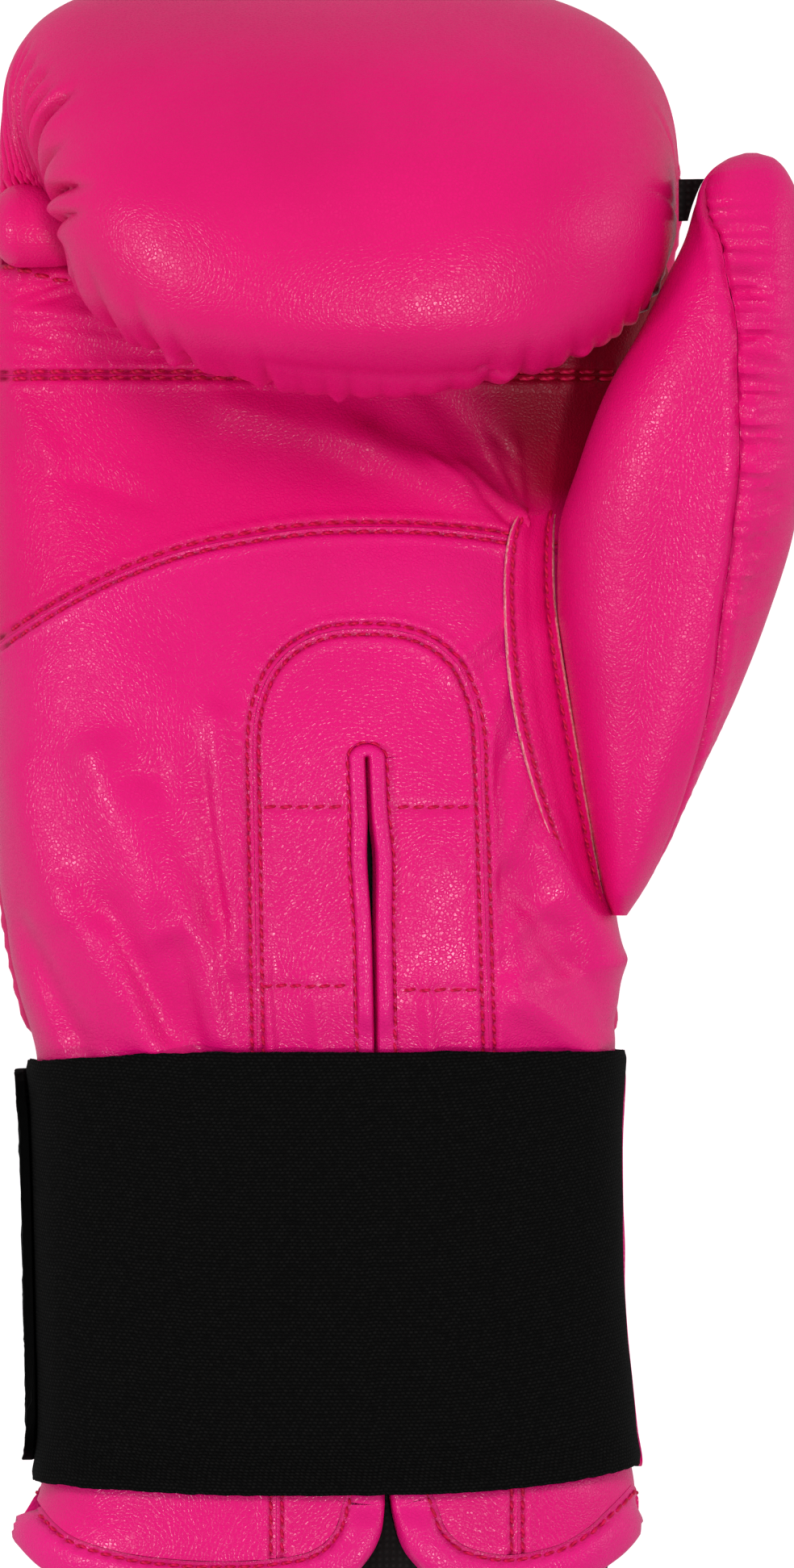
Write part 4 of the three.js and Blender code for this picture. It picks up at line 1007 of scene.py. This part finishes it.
insert_leather = palm_sheet("slit_insert", *insert_grid(), heel_skin)
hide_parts("slit_panel")
insert_line = evenly(insert_seam, 900)
insert_line = insert_line[insert_line[:, 1] >= -133]
cross_lines = [np.stack([np.linspace(x0 + 0.4, x1 - 0.4, 30), np.full(30, row_y)], -1)
               for row_y, x0, x1 in cross_rows]
stitches("insert_stitches", rows_beside(insert_line, insert_row, insert_pitch)
         + [(*over_palm(line), insert_pitch) for line in cross_lines])


# The binding of the slit and the hem
# A folded strip of leather covers the raw edges of both flaps. It runs along the slit, round its top and
# round the cuff's hem, with one row of stitches near its inner edge.

binding_row, binding_pitch = 0.87, 2.5


def binding_grid():
    """The binding from the left hem up the slit, round its top and down to the right hem. Across it the
    height follows a soft roll: steep at the fold, flat over the back, drawn down at the stitches."""
    edges, inners = [], []
    for side in (-1, 1):
        line, width, normal = flap_edge(side)
        inner = line + normal * width[:, None]
        limit = body("left" if side < 0 else "right", inner[:, 1])
        keep = side * inner[:, 0] < side * limit - 0.4
        order = slice(None, None, side)
        edges.append(line[keep][order])
        inners.append(inner[keep][order])
    arch_turn = over_top(33)[1:-1]
    fold = [slit_top_x + 0.25 * np.cos(arch_turn), slit_top_y + 0.1 + 0.25 * np.sin(arch_turn)]
    edge = np.concatenate([edges[0], np.stack(fold, -1), edges[1]])
    inner = np.concatenate([inners[0], band_top(band_radius)[1:-1], inners[1]])
    spare = (len(edge) - 1) % inner_step
    edge, inner = edge[spare:], inner[spare:]
    u = np.linspace(0, 1, 17)[None, :, None]
    grid = (1 - u) * edge[:, None] + u * inner[:, None]
    x, y = grid[..., 0], grid[..., 1]
    across = u[..., 0] + 0 * x
    free = 1 - ramp(y, strap_bottom - 6, strap_bottom - 2) * (1 - ramp(y, strap_top + 2, strap_top + 8))
    pull = 0.5 + 0.5 * np.cos(2 * np.pi * lengths(grid, 0) / binding_pitch)
    arch = np.sqrt(np.maximum(0, 1 - ((across - 0.4) / 0.45) ** 2))
    roll_height = 0.3 + free * (1.25 * arch - (0.15 + 0.25 * pull) * bump((across - binding_row) / 0.07))
    roll_height = roll_height - 0.9 * bump(across / 0.06) - 0.2 * bump((1 - across) / 0.05)
    turn = turn_over(x, y)
    base = body_point(turn, y)
    roll_height = roll_height + 0.2 * free * uneven(base, 5)
    outer = base + palm_normal(turn, y) * roll_height[..., None]
    hem = ramp(-y, 120, 128)
    # Painted shade: darker along the stitch row and, near the hem, along the binding's inner fold.
    painted_shade = (0.1 + 0.5 * pull**2) * bump((across - binding_row) / 0.06)
    painted_shade = painted_shade + 0.5 * hem * bump((1 - across) / 0.05)
    return outer, body_point(turn, y, 2.6, 2.6), np.clip(painted_shade, 0, 1)


binding_skin = leather("binding leather", (0.78, 0.006, 0.2), 0.24, 0.00008)
binding_outer, binding_inner, binding_painted_shade = binding_grid()
binding = walled("slit_and_hem_binding", binding_outer, binding_inner, [binding_skin, inside_cloth],
                 marks={"painted_shade": binding_painted_shade})
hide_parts("slit_binding")


def along_grid(grid, column, lift, margin=2):
    """A path on a grid of points at a share of its width, and the grid's normals there."""
    at = column * (grid.shape[1] - 1)
    low = int(at)
    high, part = min(low + 1, grid.shape[1] - 1), at - low
    path, normal = ((1 - part) * values[:, low] + part * values[:, high]
                    for values in (grid, normals(grid, body_middle)))
    return (path + normal * lift)[margin:-margin], normal[margin:-margin]


stitches("binding_stitches", [(*along_grid(binding_outer, binding_row, 0.12), binding_pitch)])


# The back of the cuff
# Padded leather behind the wrist, sewn to the mitt above it. Its hem is bound with a broad folded strip
# that swings up towards the flaps at both sides.

cuff_low, cuff_top, cuff_hem_low, cuff_hem_width, cuff_hem_row = -132, -44.35, -139.5, 7.1, 0.82


def cuff_grids():
    """The cuff's back as rows of y between its risen hem and the wrist seam, and the binding as a roll
    round that hem."""
    across = np.linspace(0, 1, 161)[None, :]
    turn = np.pi * (1 + across)
    rise = 10.5 * np.abs(squircle(turn, section_square)[0]) ** 3.9
    rows = toward_ends(97)[:, None]
    low = cuff_low + rise
    y = low + (cuff_top - low) * rows
    base = back_point(turn, y)
    sides = np.minimum(lengths(base, 1), back_lengths(base, 1))
    top = back_lengths(base, 0)
    height = 0.4 * uneven(base, 20, 0.4) + 0.12 * uneven(base, 7) - 1.3 * bump(sides / 1.4)
    height = height - 1.4 * bump(top / 1.3) + 0.4 * bump((top - 3.2) / 1.8)
    height = height - 0.8 * bump(lengths(base, 0) / 1.0)
    outer = swell(base, height, body_middle)
    outer[..., 2] = np.maximum(outer[..., 2], 0)
    inner = back_point(turn, y, body("side", y), body("pad", y))
    # Painted shade: darker along the side seams, the wrist seam and the hem.
    painted_shade = 0.7 * bump(sides / 1.2) + 0.7 * bump(top / 1.2) + 0.5 * bump(lengths(base, 0) / 1)
    roll_rows = np.linspace(0, 1, 33)[:, None]
    roll_y = cuff_hem_low + cuff_hem_width * roll_rows + rise
    proud = 0.7 * (1 - np.abs(2 * roll_rows - 1) ** 4) - 0.3 * bump((roll_rows - cuff_hem_row) / 0.08)
    roll_outer = back_point(turn, roll_y, -proud, -proud)
    roll_outer[..., 2] = np.maximum(roll_outer[..., 2], 0)
    inset = body("side", roll_y) + 0.35
    roll_inner = back_point(turn, roll_y, inset, inset + 3)
    return outer, inner, np.clip(painted_shade, 0, 1), roll_outer, roll_inner


cuff_outer, cuff_inner, cuff_painted_shade, hem_outer, hem_inner = cuff_grids()
cuff = walled("cuff_back_pad", cuff_outer, cuff_inner, [heel_skin, inside_cloth],
              marks={"painted_shade": cuff_painted_shade})
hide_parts("cuff_back")
hem = walled("cuff_back_hem", hem_outer, hem_inner, [binding_skin, inside_cloth])
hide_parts("cuff_back_binding")
hem_path, hem_normal = along_grid(hem_outer.transpose(1, 0, 2), cuff_hem_row, 0.1)
stitches("cuff_back_stitches", [(hem_path, hem_normal, 2.8)])


# The lining
# Black cloth lines the wrist and the heel of the hand. It shows in the slit, in the notch between the
# flaps and at the mouth.

lining_low, lining_high = -137.5, 14


def lining_grid(thick):
    """The body's surface moved inwards past the leather and the padding, with slow slack folds."""
    y = np.linspace(lining_low, lining_high, 145)[:, None]
    turn = np.linspace(0, 2 * np.pi, 161)[None, :-1]
    side, pad = body("side", y), body("pad", y)
    slack = 0.25 + 0.25 * np.sin(7 * turn + y / 9) * np.sin(y / 17 + 2 * turn)
    off = thick + slack
    return body_point(turn, y, side + 0.9 + off, 3.6 + off, pad + 0.6 + off)


lining = walled("black_lining", lining_grid(0.0), lining_grid(1.2), [inside_cloth, inside_cloth],
                joined=True)
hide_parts("lining")


# The thumb
# A padded tube of leather: a plain panel on the inner side and a padded one outside, joined by a seam
# over the top that is gathered, so that the outer panel bends round the thumb.

thumb = table("y left right low high seam", [
    (109.6, 60, 62, 81, 83, 172), (108.6, 57, 65, 77.5, 86.5, 172), (106, 54, 67.2, 74, 89.5, 168),
    (101, 51.6, 69.2, 70, 91.6, 148), (95, 49.8, 70.1, 67, 92.6, 116), (88, 46.4, 70.6, 64.5, 93, 97),
    (79, 41.8, 70.8, 61, 92.6, 84), (69, 36.2, 70.9, 57, 91, 76), (57, 31.6, 70.6, 52, 88, 69),
    (44, 28, 68.4, 46, 84, 64), (30, 27.6, 64, 41.5, 79.5, 58), (16, 29.4, 58.6, 38, 75, 46),
    (2, 31.8, 52.2, 35.5, 70.5, 32), (-10, 34.2, 46.8, 36, 65.5, 20), (-18, 36, 42.6, 39, 60.5, 12),
    (-22, 37.6, 40, 46, 54, 8)])
thumb_square, thumb_tilt, thumb_tip, thumb_root, far_seam = 2.3, 0.12, 109.6, -22, 262.0
thumb_leather = leather("thumb leather", (0.76, 0.004, 0.17), 0.24, 0.00008)


def outline_turn(degrees, exponent):
    """The direction of a superellipse's point whose own angle is given: the point's coordinates are that
    angle's cosine and sine, each raised to two over the exponent."""
    angle = np.radians(degrees)
    x = np.sign(np.cos(angle)) * np.abs(np.cos(angle)) ** (2 / exponent)
    z = np.sign(np.sin(angle)) * np.abs(np.sin(angle)) ** (2 / exponent)
    return angle + (np.arctan2(z, x) - angle + np.pi) % (2 * np.pi) - np.pi


def thumb_size(y):
    """Where the middle of the thumb's section lies in x and z, and half its width and height."""
    left, right, low, high = (thumb(name, y) for name in ("left", "right", "low", "high"))
    return (left + right) / 2, (low + high) / 2, (right - left) / 2, (high - low) / 2


def thumb_point(turn, y, off=0.0):
    """Point of the thumb at an angle and y: a superellipse between its sides, tilted up outwards."""
    across, up = squircle(turn, thumb_square)
    middle, centre, half, tall = thumb_size(y)
    shrink = np.maximum(0.12, 1 - off / np.minimum(half, tall))
    x = half * shrink * across
    return np.stack([x + middle, y + 0 * x, centre + tall * shrink * up + thumb_tilt * x], -1)


def outside_body(points, gap):
    """Points that lie in the glove's body, moved straight away from its middle line onto its surface,
    grown by a gap."""
    x, y, z = np.moveaxis(points, -1, 0)
    (middle, half), centre = body_width(y), body("centre", y)
    half = half + gap
    tall = np.where(z > centre, body("palm", y) - centre, centre - body("back", y)) + gap
    reach = (np.abs((x - middle) / half) ** section_square
             + np.abs((z - centre) / tall) ** section_square) ** (1 / section_square)
    push = np.where((reach < 1) & (y < axis_y + 0.5), 1 / np.maximum(reach, 0.2), 1)
    return np.stack([middle + (x - middle) * push, y, centre + (z - centre) * push], -1)


def thumb_grids():
    """The pad and the panel, each from the gathered seam round to the seam on the far side. Near the
    seam the pad's leather stands in short ridges across it, and both sides dip into the seam."""
    steps = np.linspace(0, 1, 241)[:, None]
    y = thumb_tip + (thumb_root - thumb_tip) * (1 - np.cos(np.pi * (0.01 + 0.98 * steps))) / 2
    seam = outline_turn(thumb("seam", y), thumb_square)
    far = outline_turn(np.full_like(y, far_seam), thumb_square)
    middle = np.array([52, 45, 68])
    made = []
    for name, first, last, count in (("pad", seam - 0.005, far - 2 * np.pi + 0.01, 121),
                                     ("panel", seam + 0.005, far - 0.01, 105)):
        across = toward_ends(count, 0.5)[None, :]
        turn = first + (last - first) * across
        base = thumb_point(turn, y)
        away, back, run = lengths(base, 1), back_lengths(base, 1), lengths(base, 0)
        size = ramp(y, -24, 6) * (1 - ramp(y, 104, 109.6))
        phase = run * 1.15 + 1.5 * uneven(base, 14, 0.7) + 0.1 * away
        ridges = 0.7 - np.abs(np.sin(phase)) ** 0.6 + 0.5 * np.sin(phase * 0.61 + 1.3)
        ridges = ridges + 0.5 * uneven(base, 4, 0.6)
        strong = (ramp(y, 20, 44) * (1 - ramp(y, 93, 105)) * 0.8 + 0.2) * (1 + 0.6 * uneven(base, 13, 0.4))
        depth, spread_out = (1.1, 8) if name == "pad" else (0.22, 3.2)
        height = depth * size * strong * ridges * bump((away - 0.6) / spread_out)
        height = height - 0.75 * size * bump(away / 0.7) + 0.35 * size * bump((away - 2.4) / 1.6)
        height = height - 0.9 * size * bump(back / 1.0) + 0.35 * uneven(base, 22, 0.1) * size
        # Painted shade: patchy along the gathered seam and darker along the far seam.
        patchy = 0.12 + 0.3 * uneven(base, 11, 0.2)
        painted_shade = np.clip(patchy * bump(away / 0.6) + 0.3 * bump(back / 0.8), 0, 1) * size
        outer = outside_body(swell(base, height, middle), 0.6)
        inner = outside_body(thumb_point(turn, y, 2.4), 2.6)
        made.append((name, outer, inner, painted_shade))
    return made


for name, outer, inner, painted_shade in thumb_grids():
    half = walled("thumb_" + name + "_leather", outer, inner, [thumb_leather, inside_cloth],
                  marks={"painted_shade": painted_shade})
    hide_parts("thumb_" + name)


# The strip between palm and thumb
# A narrow strip of leather bridges the seam between palm and thumb. Its edges are cut raw, so their pale
# backing shows, and a row of stitches runs inside each.


def raw_edge_skin():
    """The fibres of a cut edge: pink and beige, finely mixed."""
    skin, tree = new_skin("raw edge")
    place = on_piece(tree)
    fibre = noise(tree, place, 1800.0, 3.0)
    colour = mixed(tree, spread(tree, fibre, 0.38, 0.62, 0.0, 1.0), (0.66, 0.13, 0.18, 1),
                   (0.84, 0.47, 0.42, 1))
    return finished(skin, colour, 0.85, 0.5, fibre, 0.0001)


raw_edge = raw_edge_skin()
strip_left = through([(24.4, 52.5), (20.9, 47.6), (18.9, 41.7), (18.5, 30.5), (19.6, 16.5), (22.8, 2.5),
                      (27.7, -11.5), (33, -22.7), (36.6, -30)], 160)
strip_right = through([(28.6, 52.5), (27.6, 47), (27.3, 41.7), (27.7, 30.5), (29.8, 16.5), (32.2, 2.5),
                       (34.6, -11.5), (36.6, -21.5), (37.6, -27)], 160)


def palm_height(x, y):
    """Height of the palm over a place."""
    (middle, half), centre = body_width(y), body("centre", y)
    across = np.minimum(1, np.abs(x - middle) / half)
    palm = centre + (body("palm", y) - centre) * (1 - across**section_square) ** (1 / section_square)
    return palm + palm_relief(x, y)


def seat_height(x, y):
    """Height of whichever is higher at a place, the palm or the thumb."""
    palm = palm_height(x, y)
    middle, centre, half, tall = thumb_size(y)
    across = np.abs(x - middle) / half
    over = (1 - np.minimum(1, across) ** thumb_square) ** (1 / thumb_square)
    top = centre + thumb_tilt * (x - middle) + tall * over
    return np.where((across < 1) & (y < thumb_tip) & (y > thumb_root), np.maximum(palm, top), palm)


def strip_grid(shares, lift):
    """The strip at shares of its width: it spans its two edges and bows up a little between them."""
    v = shares[None, :]
    left, right = strip_left[:, None], strip_right[:, None]
    x = left[..., 0] + (right - left)[..., 0] * v
    y = left[..., 1] + (right - left)[..., 1] * v
    ends = [seat_height(line[:, 0], line[:, 1])[:, None] for line in (strip_left, strip_right)]
    z = np.maximum(ends[0] + (ends[1] - ends[0]) * v, seat_height(x, y))
    sunk = palm_height(x, y) - 1.6 * v - 5 * ramp(y, 47, 52)
    z = z + (sunk - z) * ramp(y, 40, 50)
    return np.stack([x, y, z + 0.9 * np.sin(np.pi * v) + lift], -1)


strip_shares = np.linspace(0.03, 0.97, 41)
strip_outer = strip_grid(strip_shares, 1.4)
strip_rows = bump((strip_shares - 0.17) / 0.05) + bump((strip_shares - 0.83) / 0.05)
strip_pull = 0.5 + 0.5 * np.cos(2 * np.pi * lengths(strip_outer, 0) / 2.7)
strip_dent = 0.12 * uneven(strip_outer, 6) - (0.18 + 0.14 * strip_pull) * strip_rows
strip_outer = swell(strip_outer, strip_dent - 0.15 * bump((0.5 - strip_shares) / 0.1), body_middle)
fray = 0.12 * uneven(strip_outer[:, [0, -1]], 1.6)
strip_outer[:, 0, 0] += fray[:, 0]
strip_outer[:, -1, 0] += fray[:, 1]
# Painted shade along the two stitch rows.
strip_marks = {"painted_shade": (0.3 + 0.3 * strip_pull) * strip_rows,
               "rubbed": ((strip_shares < 0.04) + (strip_shares > 0.96)) * (strip_outer[..., 1] < 50)}
strip = walled("thumb_strip_leather", strip_outer, strip_grid(np.linspace(0, 1, 41), 0.5),
               [palm_leather, inside_cloth, raw_edge], marks=strip_marks)
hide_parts("thumb_strip")
stitches("strip_stitches", [(*along_grid(strip_outer, share, 0.12, 4), 2.7)
                            for share in (0.13, 0.87)])


# The thumb's tab
# A small web of black cloth ties the thumb's tip to the mitt, so that the thumb can't bend away.

tab_x, tab_low, tab_width, tab_z = 48.6, 98, 7.2, 76
tab_rows = np.linspace(0, 1, 25)[None, :]
tab_across = np.linspace(0, 1, 25)[:, None]


def tab_grid(lift):
    """The web between the mitt and the thumb's inner side, hollowed a little between its two seams."""
    y = tab_low + tab_width * tab_rows + 0 * tab_across
    x = tab_x + (thumb("left", y) - 0.55 - tab_x) * tab_across
    hollow = 0.8 * np.sin(np.pi * tab_across) * np.sin(np.pi * tab_rows)
    return np.stack([x, y, tab_z + 1.6 * tab_across - hollow + lift], -1)


tab = walled("thumb_tab_web", tab_grid(2.0), tab_grid(0.0), [inside_cloth, inside_cloth])
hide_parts("thumb_tab")


# The wrist strap
# A broad black elastic, woven in fine staggered ribs, is pulled round the wrist over the slit. Its ends
# pass under the closing tab at the little finger's side and the leather end on the thumb's side.


def elastic_skin():
    """Woven elastic: rows of small raised stitches, each the product of two sine waves along the
    piece's run, every other row moved on by half a stitch, under a thin pale nap."""
    skin, tree = new_skin("woven elastic")
    place = on_piece(tree)
    row_width, stitch_length = 0.00062, 0.0009
    run = node(tree, "ShaderNodeSeparateXYZ", {0: node(tree, "ShaderNodeUVMap", uv_map="run").outputs[0]})
    rows = math(tree, "MULTIPLY", run.outputs[1], 1 / row_width)
    odd = math(tree, "MODULO", math(tree, "FLOOR", rows), 2.0)
    along = math(tree, "MULTIPLY", run.outputs[0], 1 / stitch_length)
    along = math(tree, "ADD", along, math(tree, "MULTIPLY", odd, 0.5))
    waves = [math(tree, "ABSOLUTE", math(tree, "SINE", math(tree, "MULTIPLY", way, np.pi)))
             for way in (rows, along)]
    cell = math(tree, "MULTIPLY", waves[0], waves[1])
    nap = noise(tree, place, 1100.0, 3.0)
    worn = math(tree, "MULTIPLY", cell, spread(tree, nap, 0.35, 0.7, 0.2, 1.0))
    colour = mixed(tree, worn, (0.0008, 0.0008, 0.0008, 1), (0.009, 0.0088, 0.0085, 1))
    return finished(skin, colour, spread(tree, nap, 0.3, 0.7, 0.72, 0.9), 0.07, cell, 0.00022)


def band_grid(start, end, low, high, rise, out, around, rows, corner=0.0, bow=None):
    """A band round the wrist between two angles: y runs between its edges, drawn in by the bow at the
    sides and rounded at its corners, and the body's section is grown by the rise and the thickness."""
    degrees = np.linspace(start, end, around)[None, :]
    last = np.minimum(degrees - start, end - degrees) * 0.9
    inside = np.minimum(last, corner)
    cut_off = corner - np.sqrt(np.maximum(corner**2 - (corner - inside) ** 2, 0))
    turn = outline_turn(degrees, section_square)
    low_edge = low + cut_off + (bow(degrees, 0) if bow else 0)
    high_edge = high - cut_off - (bow(degrees, 1) if bow else 0)
    y = low_edge + (high_edge - low_edge) * rows[:, None]
    lift = rise(degrees) + out
    band = body_point(turn + 0 * y, y, -lift, -lift, -lift)
    band[..., 2] = np.maximum(band[..., 2], 0.1 if out > 0 else 1.2)
    return band


def strap_bow(degrees, upper):
    """How far the strap's edges draw in at the sides, as the squared cosine of the angle."""
    side = np.cos(np.radians(degrees)) ** 2
    return np.where(degrees > 90, (2.0 if upper else 1.8) * side, (0.0 if upper else 4.6) * side)


def strap_rise(degrees):
    """The strap's own rise over the leather, the same all round."""
    return 0.75 + 0 * degrees


elastic = elastic_skin()
strap_rows = toward_ends(109, 0.4)
strap_start, strap_end = -32, 191
strap_outer, strap_inner = (band_grid(strap_start, strap_end, strap_bottom, strap_top, strap_rise, out, 289,
                                      strap_rows, bow=strap_bow) for out in (1.5, 0.0))
edge_curl = bump(strap_rows / 0.012) + bump((1 - strap_rows) / 0.012)
strap_height = 0.35 * uneven(strap_outer, 26) + 0.1 * uneven(strap_outer, 6) - 0.45 * edge_curl[:, None]
strap_outer = swell(strap_outer, strap_height, body_middle)
selvedge = 0.16 * uneven(strap_outer[[0, -1]], 1.1) + 0.2 * uneven(strap_outer[[0, -1]], 9)
strap_outer[[0, -1], :, 1] += selvedge
strap = walled("wrist_elastic", strap_outer, strap_inner, [elastic, inside_cloth])
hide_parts("wrist_strap")


# The closing tab
# A tab of hook and loop tape closes the strap over the back of the wrist. Its soft side is a thick black
# pile, and its corners are rounded.


def pile_skin():
    """The looped pile of the tape: black, with paler loops scattered through it."""
    skin, tree = new_skin("hook and loop pile")
    place = on_piece(tree)
    loops = node(tree, "ShaderNodeTexVoronoi", {"Vector": place, "Scale": 1300.0}).outputs["Distance"]
    nap = spread(tree, noise(tree, place, 700.0, 5.0), 0.5, 0.7, 0.0, 1.0)
    light = math(tree, "MULTIPLY", spread(tree, loops, 0.0, 0.35, 1.0, 0.0), nap)
    colour = mixed(tree, light, (0.004, 0.004, 0.0045, 1), (0.05, 0.05, 0.055, 1))
    return finished(skin, colour, 0.95, 0.15, math(tree, "ADD", nap, light), 0.0004)


def over_strap(past):
    """Height over the leather of what lies on the strap and comes down beside it 12 degrees further."""
    return 0.6 + 2.05 * np.clip(past / 12, 0, 1)


def closing_rise(degrees):
    """The tab's own rise: over the strap's end, then down on to the cuff."""
    return over_strap(strap_end + 18 - degrees)


closing_place, closing_corner = (174, 311, -117.5, -49), 8
closing_rows = toward_ends(61, 0.3)
closing_outer, closing_inner = (
    band_grid(*closing_place, closing_rise, out, 181, closing_rows, closing_corner) for out in (1.6, 0.0))
pile_height = 0.18 * uneven(closing_outer, 1.3) + 0.15 * uneven(closing_outer, 5)
closing_outer = swell(closing_outer, pile_height, body_middle)
closing = walled("closing_tab_pile", closing_outer, closing_inner, [pile_skin(), inside_cloth, elastic])
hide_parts("closure_tab")


# The strap's leather end
# On the thumb's side the elastic is sewn between two layers of pink leather. A row of stitches runs
# round them.


def anchor_rise(degrees):
    """The leather end's rise: beside the strap, then up on to it."""
    return over_strap(degrees - 314)


def pared_rise(degrees):
    """The same for its outer face, pared thinner towards the end that lies on the strap."""
    return anchor_rise(degrees) - 0.8 * ramp(degrees, 332, 348)


anchor_place, anchor_corner = (315, 350, -119, -48), 5
anchor_rows = toward_ends(61, 0.3)
anchor_outer, anchor_inner = (band_grid(*anchor_place, rise, out, 61, anchor_rows, anchor_corner)
                              for rise, out in ((pared_rise, 1.2), (anchor_rise, 0.0)))
anchor_outer = swell(anchor_outer, 0.12 * uneven(anchor_outer, 8), body_middle)
anchor = walled("strap_end_leather", anchor_outer, anchor_inner, [binding_skin, inside_cloth])
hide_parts("strap_anchor")
stitches("strap_end_stitches", [(*along_grid(anchor_outer, share, 0.1, 4), 2.8)
                                for share in (0.16, 0.84)])


# The floor, the light and the camera
# A pale matt floor, a white room and four square lamps. Neither the floor nor the key lamp shows in the
# leather's gloss. The camera looks straight down from far away, through a long lens.


def floor_skin():
    """Matt white paper with faint slow clouds."""
    skin, tree = new_skin("white paper")
    place = on_piece(tree)
    colour = mixed(tree, noise(tree, place, 3.0, 2.0), (0.4, 0.4, 0.4, 1), (0.43, 0.43, 0.43, 1))
    shader = tree.nodes["Principled BSDF"]
    shader.inputs["Emission Color"].default_value = (1, 1, 1, 1)
    shader.inputs["Emission Strength"].default_value = 0.85
    return finished(skin, colour, 0.9, 0.1)


floor_mesh = bpy.data.meshes.new("floor")
floor_half, floor_z = 3, -0.0003
floor_corners = [(x * floor_half, y * floor_half, floor_z) for x, y in ((-1, -1), (1, -1), (1, 1), (-1, 1))]
floor_mesh.from_pydata(floor_corners, [], [(0, 1, 2, 3)])
floor_mesh.materials.append(floor_skin())
floor = bpy.data.objects.new("floor", floor_mesh)
bpy.context.scene.collection.objects.link(floor)
floor.visible_glossy = False

room = bpy.data.worlds.new("white room")
room.use_nodes = True
white = room.node_tree.nodes["Background"].inputs
white["Color"].default_value = (1, 1, 1, 1)
white["Strength"].default_value = 0.33
bpy.context.scene.world = room


def soft_light(name, place, target, size, power, shines=True):
    """A square lamp of that size that faces a target. One that does not shine leaves no highlight."""
    lamp = bpy.data.lights.new(name, "AREA")
    lamp.shape, lamp.size, lamp.energy = "SQUARE", size, power
    thing = bpy.data.objects.new(name, lamp)
    bpy.context.scene.collection.objects.link(thing)
    thing.location = place
    thing.visible_glossy = shines
    away = np.array(place) - np.array(target)
    thing.rotation_euler = (np.arctan2(np.hypot(away[0], away[1]), away[2]), 0,
                            np.arctan2(away[0], -away[1]))


soft_light("key", (-0.05, 0.65, 1.38), (0, 0.03, 0.05), 0.4, 8.6, False)
soft_light("front", (0.34, -0.6, 1.3), (0, -0.02, 0.05), 0.15, 5.6)
soft_light("left", (-1.05, -0.2, 0.95), (0, -0.02, 0.05), 0.22, 5.5)
soft_light("right", (1.3, 0.2, 0.45), (0, 0, 0.05), 0.6, 2.8)

camera = bpy.data.cameras.new("camera")
camera.lens, camera.sensor_width = 397, 36
camera.clip_start, camera.clip_end = 0.1, 20
eye = bpy.data.objects.new("camera", camera)
bpy.context.scene.collection.objects.link(eye)
# From there a pixel of the photo's frame is 0.14 mm at the height of the palm.
eye.location = (0, 0.0009, 3.06)
bpy.context.scene.camera = eye
bpy.context.scene.view_settings.view_transform = "Standard"

bpy.context.view_layer.update()
